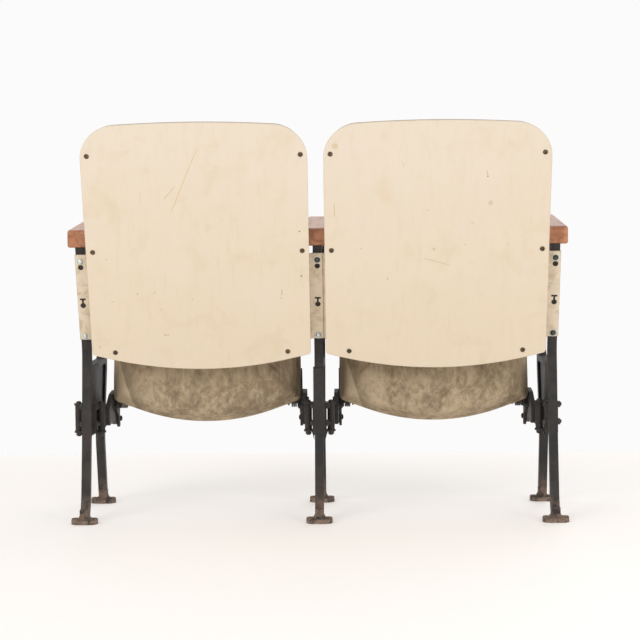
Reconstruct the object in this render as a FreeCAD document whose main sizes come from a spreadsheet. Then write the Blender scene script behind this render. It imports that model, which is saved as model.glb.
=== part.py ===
import FreeCAD, Part
import math
import os
import Sketcher

# Pair of tip-up auditorium seats on three cast standards, in millimetres.
# X runs along the row, the sitters face -Y, Z is up.
# The origin is on the floor, in the middle of the middle standard's four floor bolts.

SIZES = {
    # Row and lean
    "seat_pitch": 508,
    "lean_angle": 17.5,
    "lean_start_y": 84,
    "lean_start_z": 395,
    "lean_bend_drop": 24,
    # Cast standard
    "foot_spacing": 280,
    "leg_width": 19,
    "leg_depth": 20,
    "front_leg_depth": 18,
    "ankle_y": 124,
    "ankle_z": 50,
    "knee_y": 101,
    "knee_z": 170,
    "ankle_bend": 60,
    "knee_bend": 180,
    "lean_bend": 100,
    "front_knee_y": -96,
    "front_knee_z": 165,
    "front_hip_y": -147,
    "front_hip_z": 330,
    "front_knee_bend": 80,
    "front_hip_drop": 18,
    "front_hip_bend": 70,
    "front_post_depth": 20.7,
    "front_post_rise": 60,
    "front_post_bend": 160,
    "front_crotch_drop": 14,
    "front_crotch_bend": 60,
    "web_low_z": 185,
    "web_high_z": 337,
    "web_thickness": 8,
    "web_rim": 12,
    "web_front_corner": 8,
    "web_rear_corner": 14,
    "recess_corner": 8,
    "opening_rear_corner": 8,
    "opening_bend": 90,
    "opening_front_corner": 30,
    "opening_front_inset": 2,
    "column_width": 24.5,
    "column_depth": 26,
    "column_high_z": 332,
    "column_lean": 13,
    "column_corner": 8,
    "foot_length": 57,
    "foot_width": 38,
    "foot_thickness": 9,
    "foot_corner": 17,
    "foot_boss_radius": 9,
    "foot_boss_rise": 3,
    "foot_bolt_spacing": 38,
    "foot_bolt_hole": 4,
    "flare_rise": 22,
    "flare_spread": 11,
    "flare_depth": 16,
    "flare_toe": 4,
    "flare_bend": 13,
    # Armrest
    "arm_rear_y": 150,
    "arm_front_y": -165,
    "arm_under_z": 596,
    "arm_slope": 5.7,
    "arm_bar_depth": 18,
    "arm_bar_nose": 12,
    "arm_bar_rear_corner": 16,
    "arm_bar_front_corner": 18,
    "arm_width": 52,
    "arm_thickness": 38,
    "arm_nose": 30,
    "arm_nose_bend": 14,
    "arm_toe_bend": 7,
    "arm_overhang": 4,
    "arm_crest_run": 30,
    "arm_crest_drop": 3,
    "arm_crest_bend": 160,
    "arm_edge": 5,
    "arm_rear_corner": 6,
    "arm_rear_crest": 9,
    "arm_screw_radius": 2.5,
    "arm_screw_bite": 20,
    "arm_screw_inset": 48,
    "arm_screw_head": 5,
    "arm_screw_rise": 3,
    # Back shell, measured square to the lean from the post's rear face
    "back_width": 475,
    "back_low": -27.7,
    "back_high": 480,
    "back_crown": 13,
    "back_sag": 30,
    "back_corner": 75,
    "back_low_corner": 8,
    "board_front": 6,
    "board_thickness": 12,
    "panel_thickness": 4,
    "board_inset": 2,
    "pad_width": 448,
    "pad_proud": -6,
    "pad_front": 35,
    # Side wings of the back
    "sheet_metal": 2,
    "wing_low": 1,
    "wing_height": 195,
    "wing_reach": 11.5,
    "wing_crease": 13,
    "wing_tongue": 29,
    "wing_fold": 2.5,
    "wing_fold_inside": 1.5,
    "wing_fold_start": 1,
    "wing_bolt_high": 181.4,
    "wing_bolt_low": 9.5,
    "wing_bolt_radius": 3,
    "wing_bolt_head": 6.5,
    "wing_bolt_rise": 4.2,
    "wing_bolt_short": 1,
    "keyhole_radius": 5.8,
    "keyhole_drop": 14.2,
    "keyhole_neck": 3.6,
    "keyhole_bar": 12.5,
    "keyhole_bar_height": 4,
    "keyhole_mid": 94.4,
    "washer_radius": 8.2,
    "washer_thickness": 1.5,
    # Screws of the back panel
    "panel_screw_inset": 14.5,
    "panel_screw_top": 419,
    "panel_screw_mid": 208,
    "panel_screw_low": -22,
    "panel_screw_low_inset": 50,
    "panel_screw_head": 5.4,
    "panel_screw_rise": 2.4,
    "panel_screw_radius": 1.9,
    "panel_screw_bite": 10,
    # Hinge on the standard
    "bracket_face": 12.25,
    "bracket_sheet": 2.75,
    "bracket_low_z": 186,
    "bracket_high_z": 251,
    "bracket_front_y": 22,
    "bracket_rear_y": 72,
    "bracket_front_corner": 4,
    "bracket_rear_corner": 8,
    "bracket_pad_margin": 6,
    "bracket_pad_rise": 2,
    "ledge_thickness": 4,
    "ledge_radius": 10,
    "gusset_drop": 19,
    "gusset_reach": 6,
    "gusset_waist": 3,
    "gusset_waist_drop": 8,
    "gusset_bend": 12,
    "gusset_width": 8,
    "gusset_lap": 1,
    "swivel_y": 40,
    "swivel_out": 25,
    "swivel_radius": 4,
    "swivel_head": 7,
    "swivel_rise": 5,
    "swivel_nut_radius": 6.5,
    "swivel_nut_height": 6,
    "swivel_tip": 2,
    "barrel_radius": 8,
    "swivel_play": 0.1,
    "bracket_bolt_y": 60,
    "bracket_bolt_high_z": 245,
    "bracket_bolt_low_z": 207,
    "bracket_bolt_radius": 4,
    "bracket_bolt_head": 7,
    "bracket_bolt_rise": 5,
    "bracket_bolt_tip": 3,
    "bracket_nut_width": 13,
    "bracket_nut_height": 6,
    "ear_inner": 31,
    "ear_outer": 41,
    # Seat pivot and stops
    "pivot_y": -85,
    "pivot_z": 240,
    "tip_up_angle": 84,
    "seat_travel": 73,
    "pin_radius": 6,
    "pin_run": 0.05,
    "pin_fit": 0.02,
    "pin_head_rim": 3.5,
    "pin_collar_rim": 4,
    "pin_rim_height": 4,
    "pin_tip": 3,
    "bush_wall": 2,
    "hinge_gap": 0.3,
    "hinge_plate": 6,
    "hinge_boss": 11.7,
    "hinge_boss_radius": 14,
    "hinge_flange_thickness": 5,
    "hinge_flange_end": 80,
    "tail_angle": 16,
    "tail_length": 58,
    "tail_half_width": 8,
    "stop_radius": 45,
    "buffer_radius": 6,
    "buffer_length": 9,
    "buffer_stud": 3,
    # Lift spring
    "spring_wire": 3.5,
    "spring_mean_radius": 12.5,
    "spring_turns": 3,
    "spring_pitch": 4.2,
    "spring_leg": 50,
    "spring_play": 1,
    # Seat, measured from the pivot with the seat laid flat
    "seat_half_width": 212,
    "seat_rear_corner": -4,
    "seat_rear_bow": 38,
    "seat_front": -350,
    "seat_front_bow": 9,
    "seat_under": 26.5,
    "pan_thickness": 1.5,
    "frame_thickness": 22,
    "frame_rail": 46,
    "skirt_wall": 7,
    "cushion_high": 113,
    "seat_spring_wire": 1.6,
    "seat_spring_loop": 11,
    "seat_spring_count": 5,
    "hinge_screw_radius": 3,
    "hinge_screw_head": 5.5,
    "hinge_screw_rise": 3.4,
    "hinge_screw_bite": 15,
    "hinge_screw_inset": 11,
    "soft_gap": 0.3,
    # Clearances of drilled holes round their screws and bolts
    "bolt_play": 0.2,
    "screw_play": 0.05,
    "flange_screw_play": 0.15,
    "washer_play": 0.1,
}

doc = FreeCAD.newDocument("auditorium_seats")
sheet = doc.addObject("Spreadsheet::Sheet", "sizes")
for row, (alias, number) in enumerate(SIZES.items(), start=1):
    sheet.set("A%d" % row, str(number))
    sheet.setAlias("A%d" % row, alias)
doc.recompute()


class Size:
    """A length or angle together with the sheet formula that gives it."""

    def __init__(self, value, text):
        self.value = float(value)
        self.text = text

    def __add__(self, other):
        other = as_size(other)
        return Size(self.value + other.value, "(%s + %s)" % (self.text, other.text))

    def __sub__(self, other):
        other = as_size(other)
        return Size(self.value - other.value, "(%s - %s)" % (self.text, other.text))

    def __mul__(self, other):
        other = as_size(other)
        return Size(self.value * other.value, "%s * %s" % (self.text, other.text))

    def __truediv__(self, other):
        other = as_size(other)
        return Size(self.value / other.value, "%s / (%s)" % (self.text, other.text))

    def __neg__(self):
        return Size(-self.value, "(-1 * %s)" % self.text)

    def __radd__(self, other):
        return as_size(other) + self

    def __rsub__(self, other):
        return as_size(other) - self

    def __rmul__(self, other):
        return as_size(other) * self


def as_size(item):
    if isinstance(item, Size):
        return item
    return Size(item, "(%.6f)" % item)


def sine(angle):
    return Size(math.sin(math.radians(angle.value)), "sin(%s * 1deg)" % angle.text)


def cosine(angle):
    return Size(math.cos(math.radians(angle.value)), "cos(%s * 1deg)" % angle.text)


def tangent(angle):
    return Size(math.tan(math.radians(angle.value)), "tan(%s * 1deg)" % angle.text)


def arcsine(ratio):
    return Size(math.degrees(math.asin(ratio.value)), "(asin(%s) / 1deg)" % ratio.text)


class Cells:
    """Every size of the sheet under its own name."""


size = Cells()
for alias in SIZES:
    setattr(size, alias, Size(float(sheet.get(alias)), "sizes.%s" % alias))


# Building blocks

def bind(item, prop, value):
    item.setExpression(prop, as_size(value).text)


def put(item, x=0, y=0, z=0, axis=(1, 0, 0), angle=0):
    """Places an item, with every coordinate and the angle tied to the sheet."""
    place = [as_size(v) for v in (x, y, z)]
    turn = as_size(angle)
    spin = FreeCAD.Rotation(FreeCAD.Vector(*axis), turn.value)
    item.Placement = FreeCAD.Placement(FreeCAD.Vector(*[v.value for v in place]), spin)
    for name, value in zip("xyz", place):
        bind(item, "Placement.Base." + name, value)
    if isinstance(angle, Size):
        item.setExpression("Placement.Rotation.Angle", "%s * 1deg" % turn.text)
    return item


def block(label, x, y, z):
    """A box between two limits on each axis."""
    item = doc.addObject("Part::Box", label)
    limits = [(as_size(low), as_size(high)) for low, high in (x, y, z)]
    for prop, (low, high) in zip(("Length", "Width", "Height"), limits):
        bind(item, prop, high - low)
    return put(item, *[low for low, high in limits])


AXIS_TURN = {"X": ((0, 1, 0), 90), "Y": ((1, 0, 0), -90), "Z": ((1, 0, 0), 0)}


def rod(label, axis, start, radius, length):
    """A cylinder that starts at a point and runs along an axis."""
    item = doc.addObject("Part::Cylinder", label)
    bind(item, "Radius", radius)
    bind(item, "Height", length)
    turn_axis, turn = AXIS_TURN[axis]
    return put(item, *start, axis=turn_axis, angle=turn)


def cut(label, base, tools):
    item = doc.addObject("Part::Cut", label)
    item.Base = base
    item.Tool = tools[0] if len(tools) == 1 else join(label + "_tools", tools)
    return item


def join(label, parts):
    item = doc.addObject("Part::MultiFuse", label)
    item.Shapes = parts
    item.Refine = True
    return item


def group(label, parts):
    item = doc.addObject("Part::Compound", label)
    item.Links = parts
    return item


def rounded_corner(before, corner, after, radius):
    """Start, middle and end of the arc that rounds a corner."""
    towards = (before - corner).normalize()
    away = (after - corner).normalize()
    opening = towards.getAngle(away)
    reach = radius / math.tan(opening / 2)
    bisector = (towards + away).normalize()
    centre = corner + bisector * (radius / math.sin(opening / 2))
    return corner + towards * reach, centre - bisector * radius, corner + away * reach


def rounded_outline(points):
    """Arcs or points at the corners of an outline of (u, v, radius)."""
    flat = [FreeCAD.Vector(as_size(u).value, as_size(v).value, 0) for u, v, radius in points]
    corners = []
    for index, (u, v, radius) in enumerate(points):
        radius = as_size(radius).value
        here = FreeCAD.Vector(flat[index])
        if radius > 0:
            after = FreeCAD.Vector(flat[(index + 1) % len(flat)])
            corners.append(rounded_corner(FreeCAD.Vector(flat[index - 1]), here, after, radius))
        else:
            corners.append((here, None, here))
    return corners


def draw_outline(sketch, points):
    """Draws a closed outline of (u, v, radius) corners, each tied to the sheet."""
    corners = rounded_outline(points)
    count = len(points)

    def rule(*words):
        return sketch.addConstraint(Sketcher.Constraint(*words))

    lines = []
    for index in range(count):
        ends = corners[index][2], corners[(index + 1) % count][0]
        lines.append(sketch.addGeometry(Part.LineSegment(*ends), False))
    for index, (u, v, radius) in enumerate(points):
        start, middle, end = corners[index]
        before, after = lines[index - 1], lines[index]
        if middle is None:
            rule("Coincident", before, 2, after, 1)
            anchor = after
        else:
            leftward = (middle - start).cross(end - middle).z > 0
            ends = (start, middle, end) if leftward else (end, middle, start)
            arc = sketch.addGeometry(Part.Arc(*ends), False)
            first = 1 if leftward else 2
            rule("Tangent", before, 2, arc, first)
            rule("Tangent", arc, 3 - first, after, 1)
            bend = rule("Radius", arc, as_size(radius).value)
            bind(sketch, "Constraints[%d]" % bend, radius)
            anchor = sketch.addGeometry(Part.Point(FreeCAD.Vector(
                as_size(u).value, as_size(v).value, 0)), True)
            rule("PointOnObject", anchor, 1, before)
            rule("PointOnObject", anchor, 1, after)
        across = rule("DistanceX", -1, 1, anchor, 1, as_size(u).value)
        bind(sketch, "Constraints[%d]" % across, u)
        along = rule("DistanceY", -1, 1, anchor, 1, as_size(v).value)
        bind(sketch, "Constraints[%d]" % along, v)


def plane_of(body, role):
    return next(item for item in body.Origin.OriginFeatures if item.Role == role)


# A sketch on XZ_Plane has its normal along -Y
def plate(label, role, points, start, thickness):
    """A body padded from an outline on one of its origin planes."""
    body = doc.addObject("PartDesign::Body", label)
    sketch = body.newObject("Sketcher::SketchObject", label + "_outline")
    sketch.AttachmentSupport = [(plane_of(body, role), "")]
    sketch.MapMode = "FlatFace"
    bind(sketch, "AttachmentOffset.Base.z", start)
    draw_outline(sketch, points)
    pad = body.newObject("PartDesign::Pad", label + "_pad")
    pad.Profile = (sketch, [""])
    bind(pad, "Length", thickness)
    body.Tip = pad
    return body


def turned(label, points):
    """A body turned about its own Z axis from a half outline of (radius, height)."""
    body = doc.addObject("PartDesign::Body", label)
    sketch = body.newObject("Sketcher::SketchObject", label + "_outline")
    sketch.AttachmentSupport = [(plane_of(body, "XZ_Plane"), "")]
    sketch.MapMode = "FlatFace"
    draw_outline(sketch, points)
    spin = body.newObject("PartDesign::Revolution", label + "_turn")
    spin.Profile = (sketch, [""])
    spin.ReferenceAxis = (sketch, ["V_Axis"])
    spin.Angle = 360
    body.Tip = spin
    return body


def domed_screw(label, head, rise, shank, length):
    """A screw with a domed head above its own origin and its shank below."""
    return turned(label, [
        (0, rise, 0), (head * 0.55, rise, head * 0.5), (head, 0, 0),
        (shank, 0, 0), (shank, -length, 0), (0, -length, 0)])


nodes = []


def keep(item, name):
    """Names a finished sub-part, which is then written to its own file."""
    item.Label = name
    nodes.append(item)
    return item


# Reach of the drills past what they pierce
OVERSHOOT = 5
DRILL_RUN = 60

# Places that repeat

STANDARDS = {"left": size.seat_pitch, "middle": 0 * size.seat_pitch, "right": -size.seat_pitch}
SEATS = {"left": size.seat_pitch / 2, "right": -size.seat_pitch / 2}
rear_foot_y = size.foot_spacing / 2
front_foot_y = -size.foot_spacing / 2


def lean_y(z):
    """The rear face of the leaning post at a height."""
    return size.lean_start_y + (z - size.lean_start_z) * tangent(size.lean_angle)


def arm_line(y):
    """The underside of the armrest, which climbs towards the front."""
    return size.arm_under_z + (size.arm_rear_y - y) * tangent(size.arm_slope)


def leaning(item, x):
    """Sets an item made upright on the leaning rear face of the posts."""
    return put(item, x, size.lean_start_y, size.lean_start_z, angle=-size.lean_angle)


def tipped(item, x=0):
    """Sets an item of the seat, made flat about the pivot, in its tipped-up place."""
    return put(item, x, size.pivot_y, size.pivot_z, angle=-size.tip_up_angle)


# Standards

def front_leg_y(z):
    """The rear face of the front leg between its knee and its hip."""
    run = (size.front_hip_y - size.front_knee_y) / (size.front_hip_z - size.front_knee_z)
    return size.front_knee_y + (z - size.front_knee_z) * run


def leg_frame(label):
    """Both legs, the web between them and the bar under the armrest."""
    rear_top_y = lean_y(size.arm_under_z)
    bend_z = size.lean_start_z - size.lean_bend_drop
    depth = size.leg_depth
    front = size.front_leg_depth
    points = [
        (rear_foot_y + depth / 2, 0, 0),
        (size.ankle_y, size.ankle_z, size.ankle_bend),
        (size.knee_y, size.knee_z, size.knee_bend),
        (lean_y(bend_z), bend_z, size.lean_bend),
        (rear_top_y, arm_line(rear_top_y), 0),
        (size.arm_front_y, arm_line(size.arm_front_y), size.arm_bar_nose),
        (size.front_hip_y - size.front_post_depth, size.front_hip_z + size.front_post_rise,
         size.front_post_bend),
        (size.front_hip_y - front, size.front_hip_z - size.front_hip_drop, size.front_hip_bend),
        (size.front_knee_y - front, size.front_knee_z, size.front_knee_bend),
        (front_foot_y - front / 2, 0, 0),
        (front_foot_y + front / 2, 0, 0),
        (size.front_knee_y, size.front_knee_z - size.front_crotch_drop, size.front_crotch_bend),
        (front_leg_y(size.web_low_z), size.web_low_z, size.web_front_corner),
        (size.knee_y - depth, size.web_low_z, size.web_rear_corner),
        (size.ankle_y - depth, size.ankle_z, size.ankle_bend),
        (rear_foot_y - depth / 2, 0, 0)]
    return plate(label, "YZ_Plane", points, -size.leg_width / 2, size.leg_width)


def upper_opening(label):
    """The open space between the posts, above the web and under the arm bar."""
    depth = size.leg_depth
    low = size.web_high_z
    bend_z = size.lean_start_z - size.lean_bend_drop
    bend_y = lean_y(bend_z) - depth
    high_y = lean_y(size.arm_under_z) - depth
    high_front_y = size.front_hip_y + size.opening_front_inset
    points = [
        (bend_y, low, size.opening_rear_corner),
        (bend_y, bend_z, size.opening_bend),
        (high_y, arm_line(high_y) - size.arm_bar_depth, size.arm_bar_rear_corner),
        (high_front_y, arm_line(high_front_y) - size.arm_bar_depth, size.arm_bar_front_corner),
        (size.front_hip_y, low, size.opening_front_corner)]
    return plate(label, "YZ_Plane", points, -size.leg_width, 2 * size.leg_width)


def web_recess(label, side):
    """The hollow on one face of the web, inside its rim."""
    low = size.web_low_z + size.web_rim
    high = size.web_high_z - size.web_rim
    rear = size.bracket_front_y - size.bracket_pad_margin
    corner = size.recess_corner
    points = [
        (rear, low, corner), (rear, high, corner),
        (front_leg_y(high), high, corner), (front_leg_y(low), low, corner)]
    start = size.web_thickness / 2 if side > 0 else -size.leg_width
    return plate(label, "YZ_Plane", points, start, size.leg_width - size.web_thickness / 2)


def foot(label, y):
    """An oval foot pad with two bolt bosses and the flare of the leg above it."""
    half = size.foot_length / 2
    deep = size.foot_width / 2
    bend = size.foot_corner
    pad = plate(label + "_pad_plate", "XY_Plane", [
        (-half, y - deep, bend), (half, y - deep, bend),
        (half, y + deep, bend), (-half, y + deep, bend)], 0, size.foot_thickness)
    stem = size.leg_width / 2
    wide = stem + size.flare_spread
    top = size.foot_thickness
    toe = top + size.flare_toe
    neck = top + size.flare_rise
    flare = plate(label + "_flare", "XZ_Plane", [
        (-stem, neck, 0), (-stem, toe, size.flare_bend), (-wide, top, 0), (-wide, top / 2, 0),
        (wide, top / 2, 0), (wide, top, 0), (stem, toe, size.flare_bend), (stem, neck, 0)],
        -y - size.flare_depth / 2, size.flare_depth)
    bosses = [
        rod("%s_boss_%d" % (label, side), "Z", (side * size.foot_bolt_spacing / 2, y, 0),
            size.foot_boss_radius, size.foot_thickness + size.foot_boss_rise)
        for side in (-1, 1)]
    return [pad, flare] + bosses


def standard(name, x):
    """One cast standard with its feet, pads and bolt holes."""
    label = "standard_" + name
    solids = [leg_frame(label + "_frame")]
    feet = {"rear": rear_foot_y, "front": front_foot_y}
    for end, y in feet.items():
        solids += foot("%s_%s_foot" % (label, end), y)
    pad = size.bracket_face
    margin = size.bracket_pad_margin
    solids.append(block(
        label + "_bracket_pad", (-pad, pad),
        (size.bracket_front_y - margin, size.bracket_rear_y + margin),
        (size.web_low_z, size.bracket_high_z + size.bracket_pad_rise)))
    if name == "middle":
        half = size.column_width / 2
        rear = size.knee_y
        high_rear = size.knee_y - size.column_lean
        corner = size.column_corner
        solids.append(plate(label + "_column", "YZ_Plane", [
            (rear, size.web_low_z, 0), (high_rear, size.column_high_z, corner),
            (high_rear - size.column_depth, size.column_high_z, corner),
            (rear - size.column_depth, size.web_low_z, 0)], -half, size.column_width))
    tools = [upper_opening(label + "_opening")]
    for side in (-1, 1):
        tools.append(web_recess("%s_recess_%s" % (label, "low" if side < 0 else "high"), side))
        for end, y in feet.items():
            tools.append(rod(
                "%s_%s_hole_%d" % (label, end, side), "Z",
                (side * size.foot_bolt_spacing / 2, y, -OVERSHOOT), size.foot_bolt_hole, DRILL_RUN))
    for end, z in (("high", size.bracket_bolt_high_z), ("low", size.bracket_bolt_low_z)):
        tools.append(rod("%s_%s_bracket_hole" % (label, end), "X",
                         (-DRILL_RUN / 2, size.bracket_bolt_y, z),
                         size.bracket_bolt_radius + size.bolt_play, DRILL_RUN))
    drills = [
        rod("%s_wing_drill_%d" % (label, index), "Y", (0, -DRILL_RUN / 2, up),
            size.wing_bolt_radius + size.bolt_play, DRILL_RUN)
        for index, up in enumerate((size.wing_bolt_high, size.wing_bolt_low))]
    tools.append(leaning(group(label + "_wing_drills", drills), 0))
    for index, y in enumerate(arm_screw_places()):
        drill = rod("%s_arm_drill_%d" % (label, index), "Z", (0, 0, -DRILL_RUN / 2),
                    size.arm_screw_radius + size.bolt_play, DRILL_RUN)
        tools.append(put(group("%s_arm_drills_%d" % (label, index), [drill]),
                         0, y, arm_line(y), angle=-size.arm_slope))
    item = put(cut(label, join(label + "_casting", solids), tools), x)
    return keep(item, label)


# Armrests

def arm_screw_places():
    return (size.arm_rear_y - size.arm_screw_inset, size.arm_front_y + size.arm_screw_inset)


def armrest(name, x):
    """One wooden armrest with rounded edges, drilled for its screws from below."""
    label = "armrest_" + name
    rear = size.arm_rear_y
    front = size.arm_front_y
    crest = front + size.arm_crest_run
    tip = front - size.arm_overhang
    body = plate(label + "_wood", "YZ_Plane", [
        (rear, arm_line(rear), size.arm_rear_corner),
        (rear, arm_line(rear) + size.arm_thickness, size.arm_rear_crest),
        (crest, arm_line(crest) + size.arm_thickness - size.arm_crest_drop, size.arm_crest_bend),
        (tip, arm_line(front) + size.arm_nose, size.arm_nose_bend),
        (tip, arm_line(tip), size.arm_toe_bend)], -size.arm_width / 2, size.arm_width)
    doc.recompute()
    long_edges = [
        "Edge%d" % (index + 1) for index, edge in enumerate(body.Tip.Shape.Edges)
        if abs(abs(edge.CenterOfMass.x) - size.arm_width.value / 2) < 0.1]
    wood = body.Tip
    rounding = body.newObject("PartDesign::Fillet", label + "_rounding")
    rounding.Base = (wood, long_edges)
    bind(rounding, "Radius", size.arm_edge)
    body.Tip = rounding
    drills = [
        put(group("%s_drills_%d" % (label, index), [
            rod("%s_drill_%d" % (label, index), "Z", (0, 0, -OVERSHOOT),
                size.arm_screw_radius + size.screw_play, size.arm_screw_bite + OVERSHOOT + 1)]),
            0, y, arm_line(y), angle=-size.arm_slope)
        for index, y in enumerate(arm_screw_places())]
    return keep(put(cut(label, body, drills), x), label)


def armrest_screws():
    """Two screws per armrest, driven up through the iron bar."""
    screws = []
    depth = size.arm_bar_depth
    for name, x in STANDARDS.items():
        for index, y in enumerate(arm_screw_places()):
            screw = domed_screw("armrest_screw_%s_%d" % (name, index), size.arm_screw_head,
                                size.arm_screw_rise, size.arm_screw_radius,
                                depth + size.arm_screw_bite)
            under = depth * cosine(size.arm_slope)
            put(screw, 0, 0, -under, angle=180)
            screws.append(put(group("armrest_screw_%s_%d_set" % (name, index), [screw]),
                              x, y, arm_line(y), angle=-size.arm_slope))
    keep(group("armrest_screws", screws), "armrest_screws")


# Back shells

# Shares of a back's width that its bowed lower edge and its crown take from the corners
LOW_SHARE = 0.88
HIGH_SHARE = 0.6
# The pad's outline, as depth from the board and how far it is drawn in there
PAD_PROFILE = ((0, 3), (6, 0.5), (20, 0), (27, 2), (32, 6), (36, 14), (39, 30), (41, 60))
PAD_WAIST = 3
WAIST_BEND = 2000


def bow_bend(half, bow, share):
    """Radius of a bowed side that leaves a share of its length to the corners."""
    return share * half * half / (2 * bow)


def back_outline(half, inset, rise=0):
    """Rounded outline of a back in its own plane, drawn in by an inset."""
    low = size.back_low + inset
    high = size.back_high + rise - inset
    narrow = half - inset
    sag = size.back_sag * narrow / half
    crown = size.back_crown * narrow / half
    corner = size.back_corner - 0.5 * inset
    low_corner = size.back_low_corner
    return [
        (-narrow, low, low_corner), (0, low - 2 * sag, bow_bend(narrow, sag, LOW_SHARE)),
        (narrow, low, low_corner), (narrow, high, corner),
        (0, high + crown, bow_bend(narrow, crown / 2, HIGH_SHARE)),
        (-narrow, high, corner)]


def upright_plate(label, points, rear, thickness):
    """A plate in the plane of the back, from its rear face forward."""
    return plate(label, "XZ_Plane", points, -rear, thickness)


def panel_screw_places():
    side = size.back_width / 2 - size.panel_screw_inset
    low_side = size.back_width / 2 - size.panel_screw_low_inset
    rows = ((side, size.panel_screw_top), (side, size.panel_screw_mid),
            (low_side, size.panel_screw_low))
    return [(hand * across, up) for across, up in rows for hand in (-1, 1)]


def panel_drills(label):
    board_rear = size.board_front + size.board_thickness
    return [
        rod("%s_drill_%d" % (label, index), "Y", (across, board_rear - size.panel_screw_bite, up),
            size.panel_screw_radius + size.screw_play,
            size.panel_screw_bite + size.panel_thickness + OVERSHOOT)
        for index, (across, up) in enumerate(panel_screw_places())]


def back_shell(name, x):
    """The plywood board, the painted rear panel and the panel's six screws."""
    half = size.back_width / 2
    rear = size.board_front + size.board_thickness
    label = "back_board_" + name
    board = upright_plate(label + "_ply", back_outline(half, size.board_inset), rear,
                          size.board_thickness)
    keep(leaning(cut(label, board, panel_drills(label)), x), label)
    label = "back_panel_" + name
    panel = upright_plate(label + "_sheet", back_outline(half, as_size(0)),
                          rear + size.panel_thickness, size.panel_thickness)
    keep(leaning(cut(label, panel, panel_drills(label)), x), label)
    screws = []
    for index, (across, up) in enumerate(panel_screw_places()):
        screw = domed_screw("panel_screw_%s_%d" % (name, index), size.panel_screw_head,
                            size.panel_screw_rise, size.panel_screw_radius,
                            size.panel_thickness + size.panel_screw_bite)
        screws.append(put(screw, across, rear + size.panel_thickness, up, angle=-90))
    keep(leaning(group("panel_screws_" + name, screws), x), "panel_screws_" + name)


def soft_wire(points, place):
    """A closed wire of lines and arcs, moved to its own level by a function."""
    corners = rounded_outline(points)
    edges = []
    for index, (start, middle, end) in enumerate(corners):
        edges.append(Part.Arc(place(start), place(middle), place(end)).toShape())
        following = corners[(index + 1) % len(corners)][0]
        edges.append(Part.LineSegment(place(end), place(following)).toShape())
    return Part.Wire(edges)


def drawn_in(points, pull):
    """Adds a hollow in the middle of each straight side that runs up the outline."""
    result = []
    for index, (u, v, radius) in enumerate(points):
        result.append((u, v, radius))
        u_next, v_next, _ = points[(index + 1) % len(points)]
        if abs(as_size(u).value - as_size(u_next).value) < 1e-6:
            inward = -pull if as_size(u).value > 0 else pull
            result.append((u + inward, (v + v_next) / 2, WAIST_BEND))
    return result


def back_pad(name, x):
    """The padded front of the back, crowned towards the sitter."""
    deepest = PAD_PROFILE[-1][0]
    reach = (size.pad_front + size.board_front).value
    wires = []
    for depth, inset in PAD_PROFILE:
        outline = back_outline(size.pad_width / 2, as_size(inset), size.pad_proud)
        level = size.board_front.value - depth * reach / deepest
        wires.append(soft_wire(drawn_in(outline, PAD_WAIST),
                               lambda p, y=level: FreeCAD.Vector(p.x, y, p.y)))
    item = doc.addObject("Part::Feature", "back_pad_" + name)
    item.Shape = Part.makeLoft(wires, True, True)
    keep(leaning(item, x), "back_pad_" + name)


# Wings and their bolts

def keyhole(label, across, bar_height, with_bar):
    """A round hole with a narrow neck above it that ends in a cross slot or a bolt hole."""
    neck = size.keyhole_neck / 2
    low, high = -OVERSHOOT, 3 * OVERSHOOT
    hole_z = bar_height - size.keyhole_drop
    pieces = [
        rod(label + "_round", "Y", (across, low, hole_z), size.keyhole_radius, high - low),
        block(label + "_neck", (across - neck, across + neck), (low, high), (hole_z, bar_height))]
    if with_bar:
        bar = size.keyhole_bar / 2
        tall = size.keyhole_bar_height / 2
        pieces.append(block(label + "_bar", (across - bar, across + bar), (low, high),
                            (bar_height - tall, bar_height + tall)))
    return join(label, pieces)


def wing(name, seat_x, hand, layer):
    """A creased sheet flange from the side of a back to the post beside it."""
    label = "back_wing_" + name
    post = hand * size.seat_pitch / 2
    metal = size.sheet_metal
    front = layer * metal
    seat_front = size.board_front - metal
    profile = [
        (-size.wing_reach, front), (size.wing_crease, front),
        (size.wing_crease + size.wing_fold, seat_front), (size.wing_tongue, seat_front),
        (size.wing_tongue, size.board_front),
        (size.wing_crease + size.wing_fold_inside, size.board_front),
        (size.wing_crease - size.wing_fold_start, front + metal),
        (-size.wing_reach, front + metal)]
    points = [(post - hand * out, depth, 0) for out, depth in profile]
    body = plate(label + "_sheet", "XY_Plane", points, size.wing_low, size.wing_height)
    tools = [
        keyhole(label + "_keyhole_high", post, size.wing_bolt_high, False),
        keyhole(label + "_keyhole_mid", post, size.keyhole_mid, True)]
    for index, up in enumerate((size.wing_bolt_high, size.wing_bolt_low)):
        tools.append(rod("%s_bolt_hole_%d" % (label, index), "Y", (post, -OVERSHOOT, up),
                         size.wing_bolt_radius + size.bolt_play, 4 * OVERSHOOT))
    keep(leaning(cut(label, body, tools), seat_x), label)


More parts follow.
